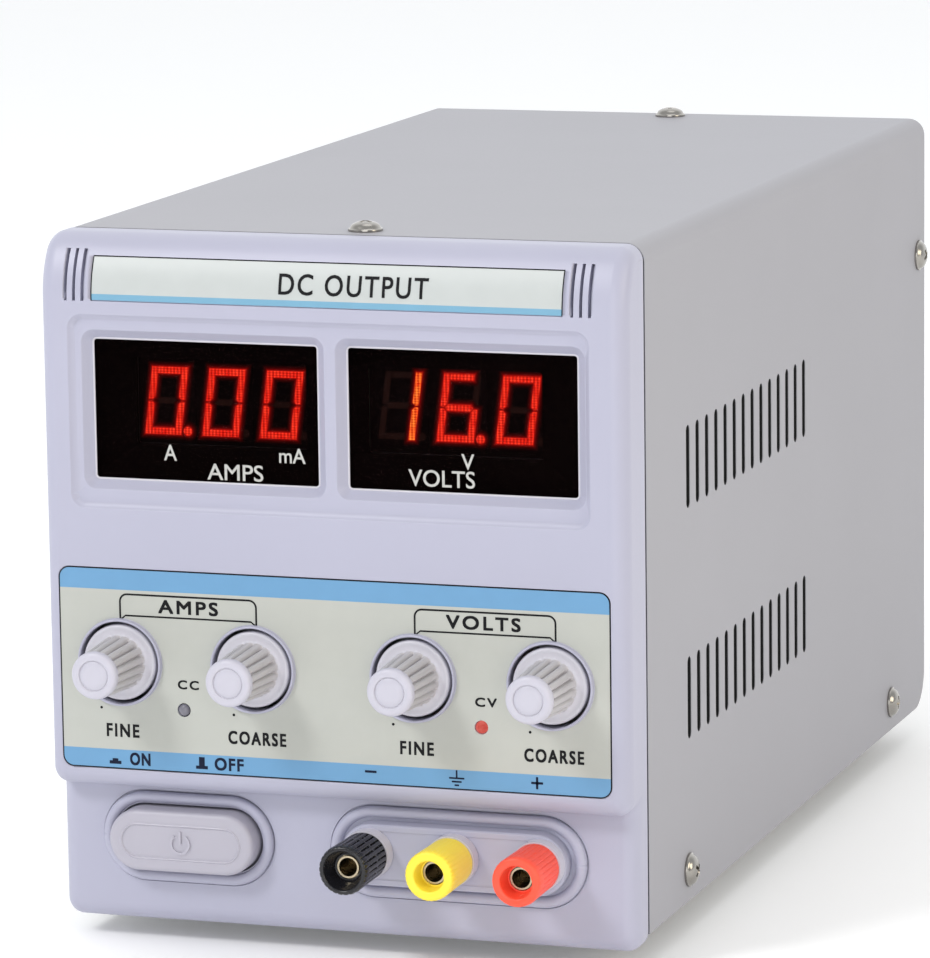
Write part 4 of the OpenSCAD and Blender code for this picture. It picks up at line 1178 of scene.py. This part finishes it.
CARRIED = {
    "cover": "cover",
    "chassis": "steel",
    "front_panel": "steel",
    "title_strip": "strip",
    "control_label": "label",
    "window_current": "pane",
    "window_voltage": "pane",
    "rubber_feet": "rubber",
    "foot_screws": "screw",
    "bezel_screws": "screw",
    "pot_nuts": "screw",
    "display_board": "board",
    "digits_current": "face_black",
    "digits_voltage": "face_black",
    "switch_plunger": "white",
    "power_switch": "black",
    "post_insulators": "white",
    "post_nuts": "brass",
    "output_leads": "wire",
    "transformer_core": "core",
    "transformer_coil": "coil",
    "transformer_bracket": "steel",
    "main_board": "board",
    "board_standoffs": "brass",
    "board_chips": "black",
    "filter_capacitors": "capacitor",
    "bridge_rectifier": "black",
    "heat_sink": "anodised",
    "power_transistors": "black",
    "mains_inlet": "black",
    "fuse_holder": "black",
    "fuse_cap": "black",
    "voltage_selector": "black",
    "selector_slider": "red_plastic",
}
for key in KNOBS:
    CARRIED["shaft_" + key] = "shaft"
    CARRIED["pot_" + key] = "phenolic"
for key in POSTS:
    CARRIED["post_insert_" + key] = "brass"
    CARRIED["post_stud_" + key] = "brass"
for name, finish in CARRIED.items():
    node = NODES[name]
    if not node.material_slots:
        node.data.materials.append(MAT[finish])
    for slot in node.material_slots:
        slot.link = "OBJECT"
        slot.material = MAT[finish]

# ---------------------------------------------------------------- floor and light

FLOOR_REACH, FLOOR_GLOW = 3.0, 0.11
floor_z = cad_box[0][2] - 0.0005
floor_mesh = bpy.data.meshes.new("floor")
floor_signs = ((-1, -1), (1, -1), (1, 1), (-1, 1))
floor_corners = [(FLOOR_REACH * sx, FLOOR_REACH * sy, floor_z) for sx, sy in floor_signs]
floor_mesh.from_pydata(floor_corners, [], [(0, 1, 2, 3)])
floor = bpy.data.objects.new("floor", floor_mesh)
bpy.context.scene.collection.objects.link(floor)
pale_floor = surface("pale_floor", (0.97, 0.97, 0.97, 1), 0.7, grain=200.0, bump=0.02, mottle=0.004)
Nodes(pale_floor).put(Emission_Color=(1, 1, 1, 1), Emission_Strength=FLOOR_GLOW)
floor_mesh.materials.append(pale_floor)

# the surroundings are darkest in front, where the glossy faces look, and brightest behind
FRONTWARD, SKY_STRENGTH = (0.25, -0.93, 0.1), 1.2
SKY_LEVELS = ((0.2, 1.12), (0.45, 0.6), (0.78, 0.6), (0.9, 0.2))
world = bpy.data.worlds.new("studio")
bpy.context.scene.world = world
sky = Nodes(world)
toward = sky.add("ShaderNodeVectorMath", operation="DOT_PRODUCT")
sky.link(sky.add("ShaderNodeTexCoord").outputs["Generated"], toward.inputs[0])
toward.inputs[1].default_value = FRONTWARD
turned_front = sky.compute("MULTIPLY_ADD", toward.outputs["Value"], 0.5, 0.5)
sky_stops = [(position, (0.96 * level, 0.98 * level, level, 1)) for position, level in SKY_LEVELS]
background = sky.tree.nodes["Background"].inputs
sky.link(sky.ramp(turned_front, sky_stops), background["Color"])
background["Strength"].default_value = SKY_STRENGTH


def soft_light(name, spot, aim, size, power, tint=(1.0, 1.0, 1.0)):
    data = bpy.data.lights.new(name, "AREA")
    data.color = tint
    data.shape = "DISK"
    data.size = size
    data.energy = power
    lamp = bpy.data.objects.new(name, data)
    lamp.location = spot
    lamp.rotation_euler = (Vector(aim) - Vector(spot)).to_track_quat("-Z", "Y").to_euler()
    bpy.context.scene.collection.objects.link(lamp)


soft_light("key", (-0.7, -1.2, 1.25), (0, 0, 0.08), 0.45, 12)
soft_light("front", (0.4, -1.7, 0.35), (0, 0, 0.05), 1.1, 7.5)
soft_light("fill", (1.4, -0.4, 0.6), (0, 0, 0.08), 0.8, 5.5, (1.0, 0.89, 0.70))
soft_light("top", (0.1, 0.2, 1.6), (0, 0.05, 0.1), 1.0, 2.5)

bpy.context.scene.view_settings.view_transform = "Standard"
bpy.context.scene.view_settings.look = "None"
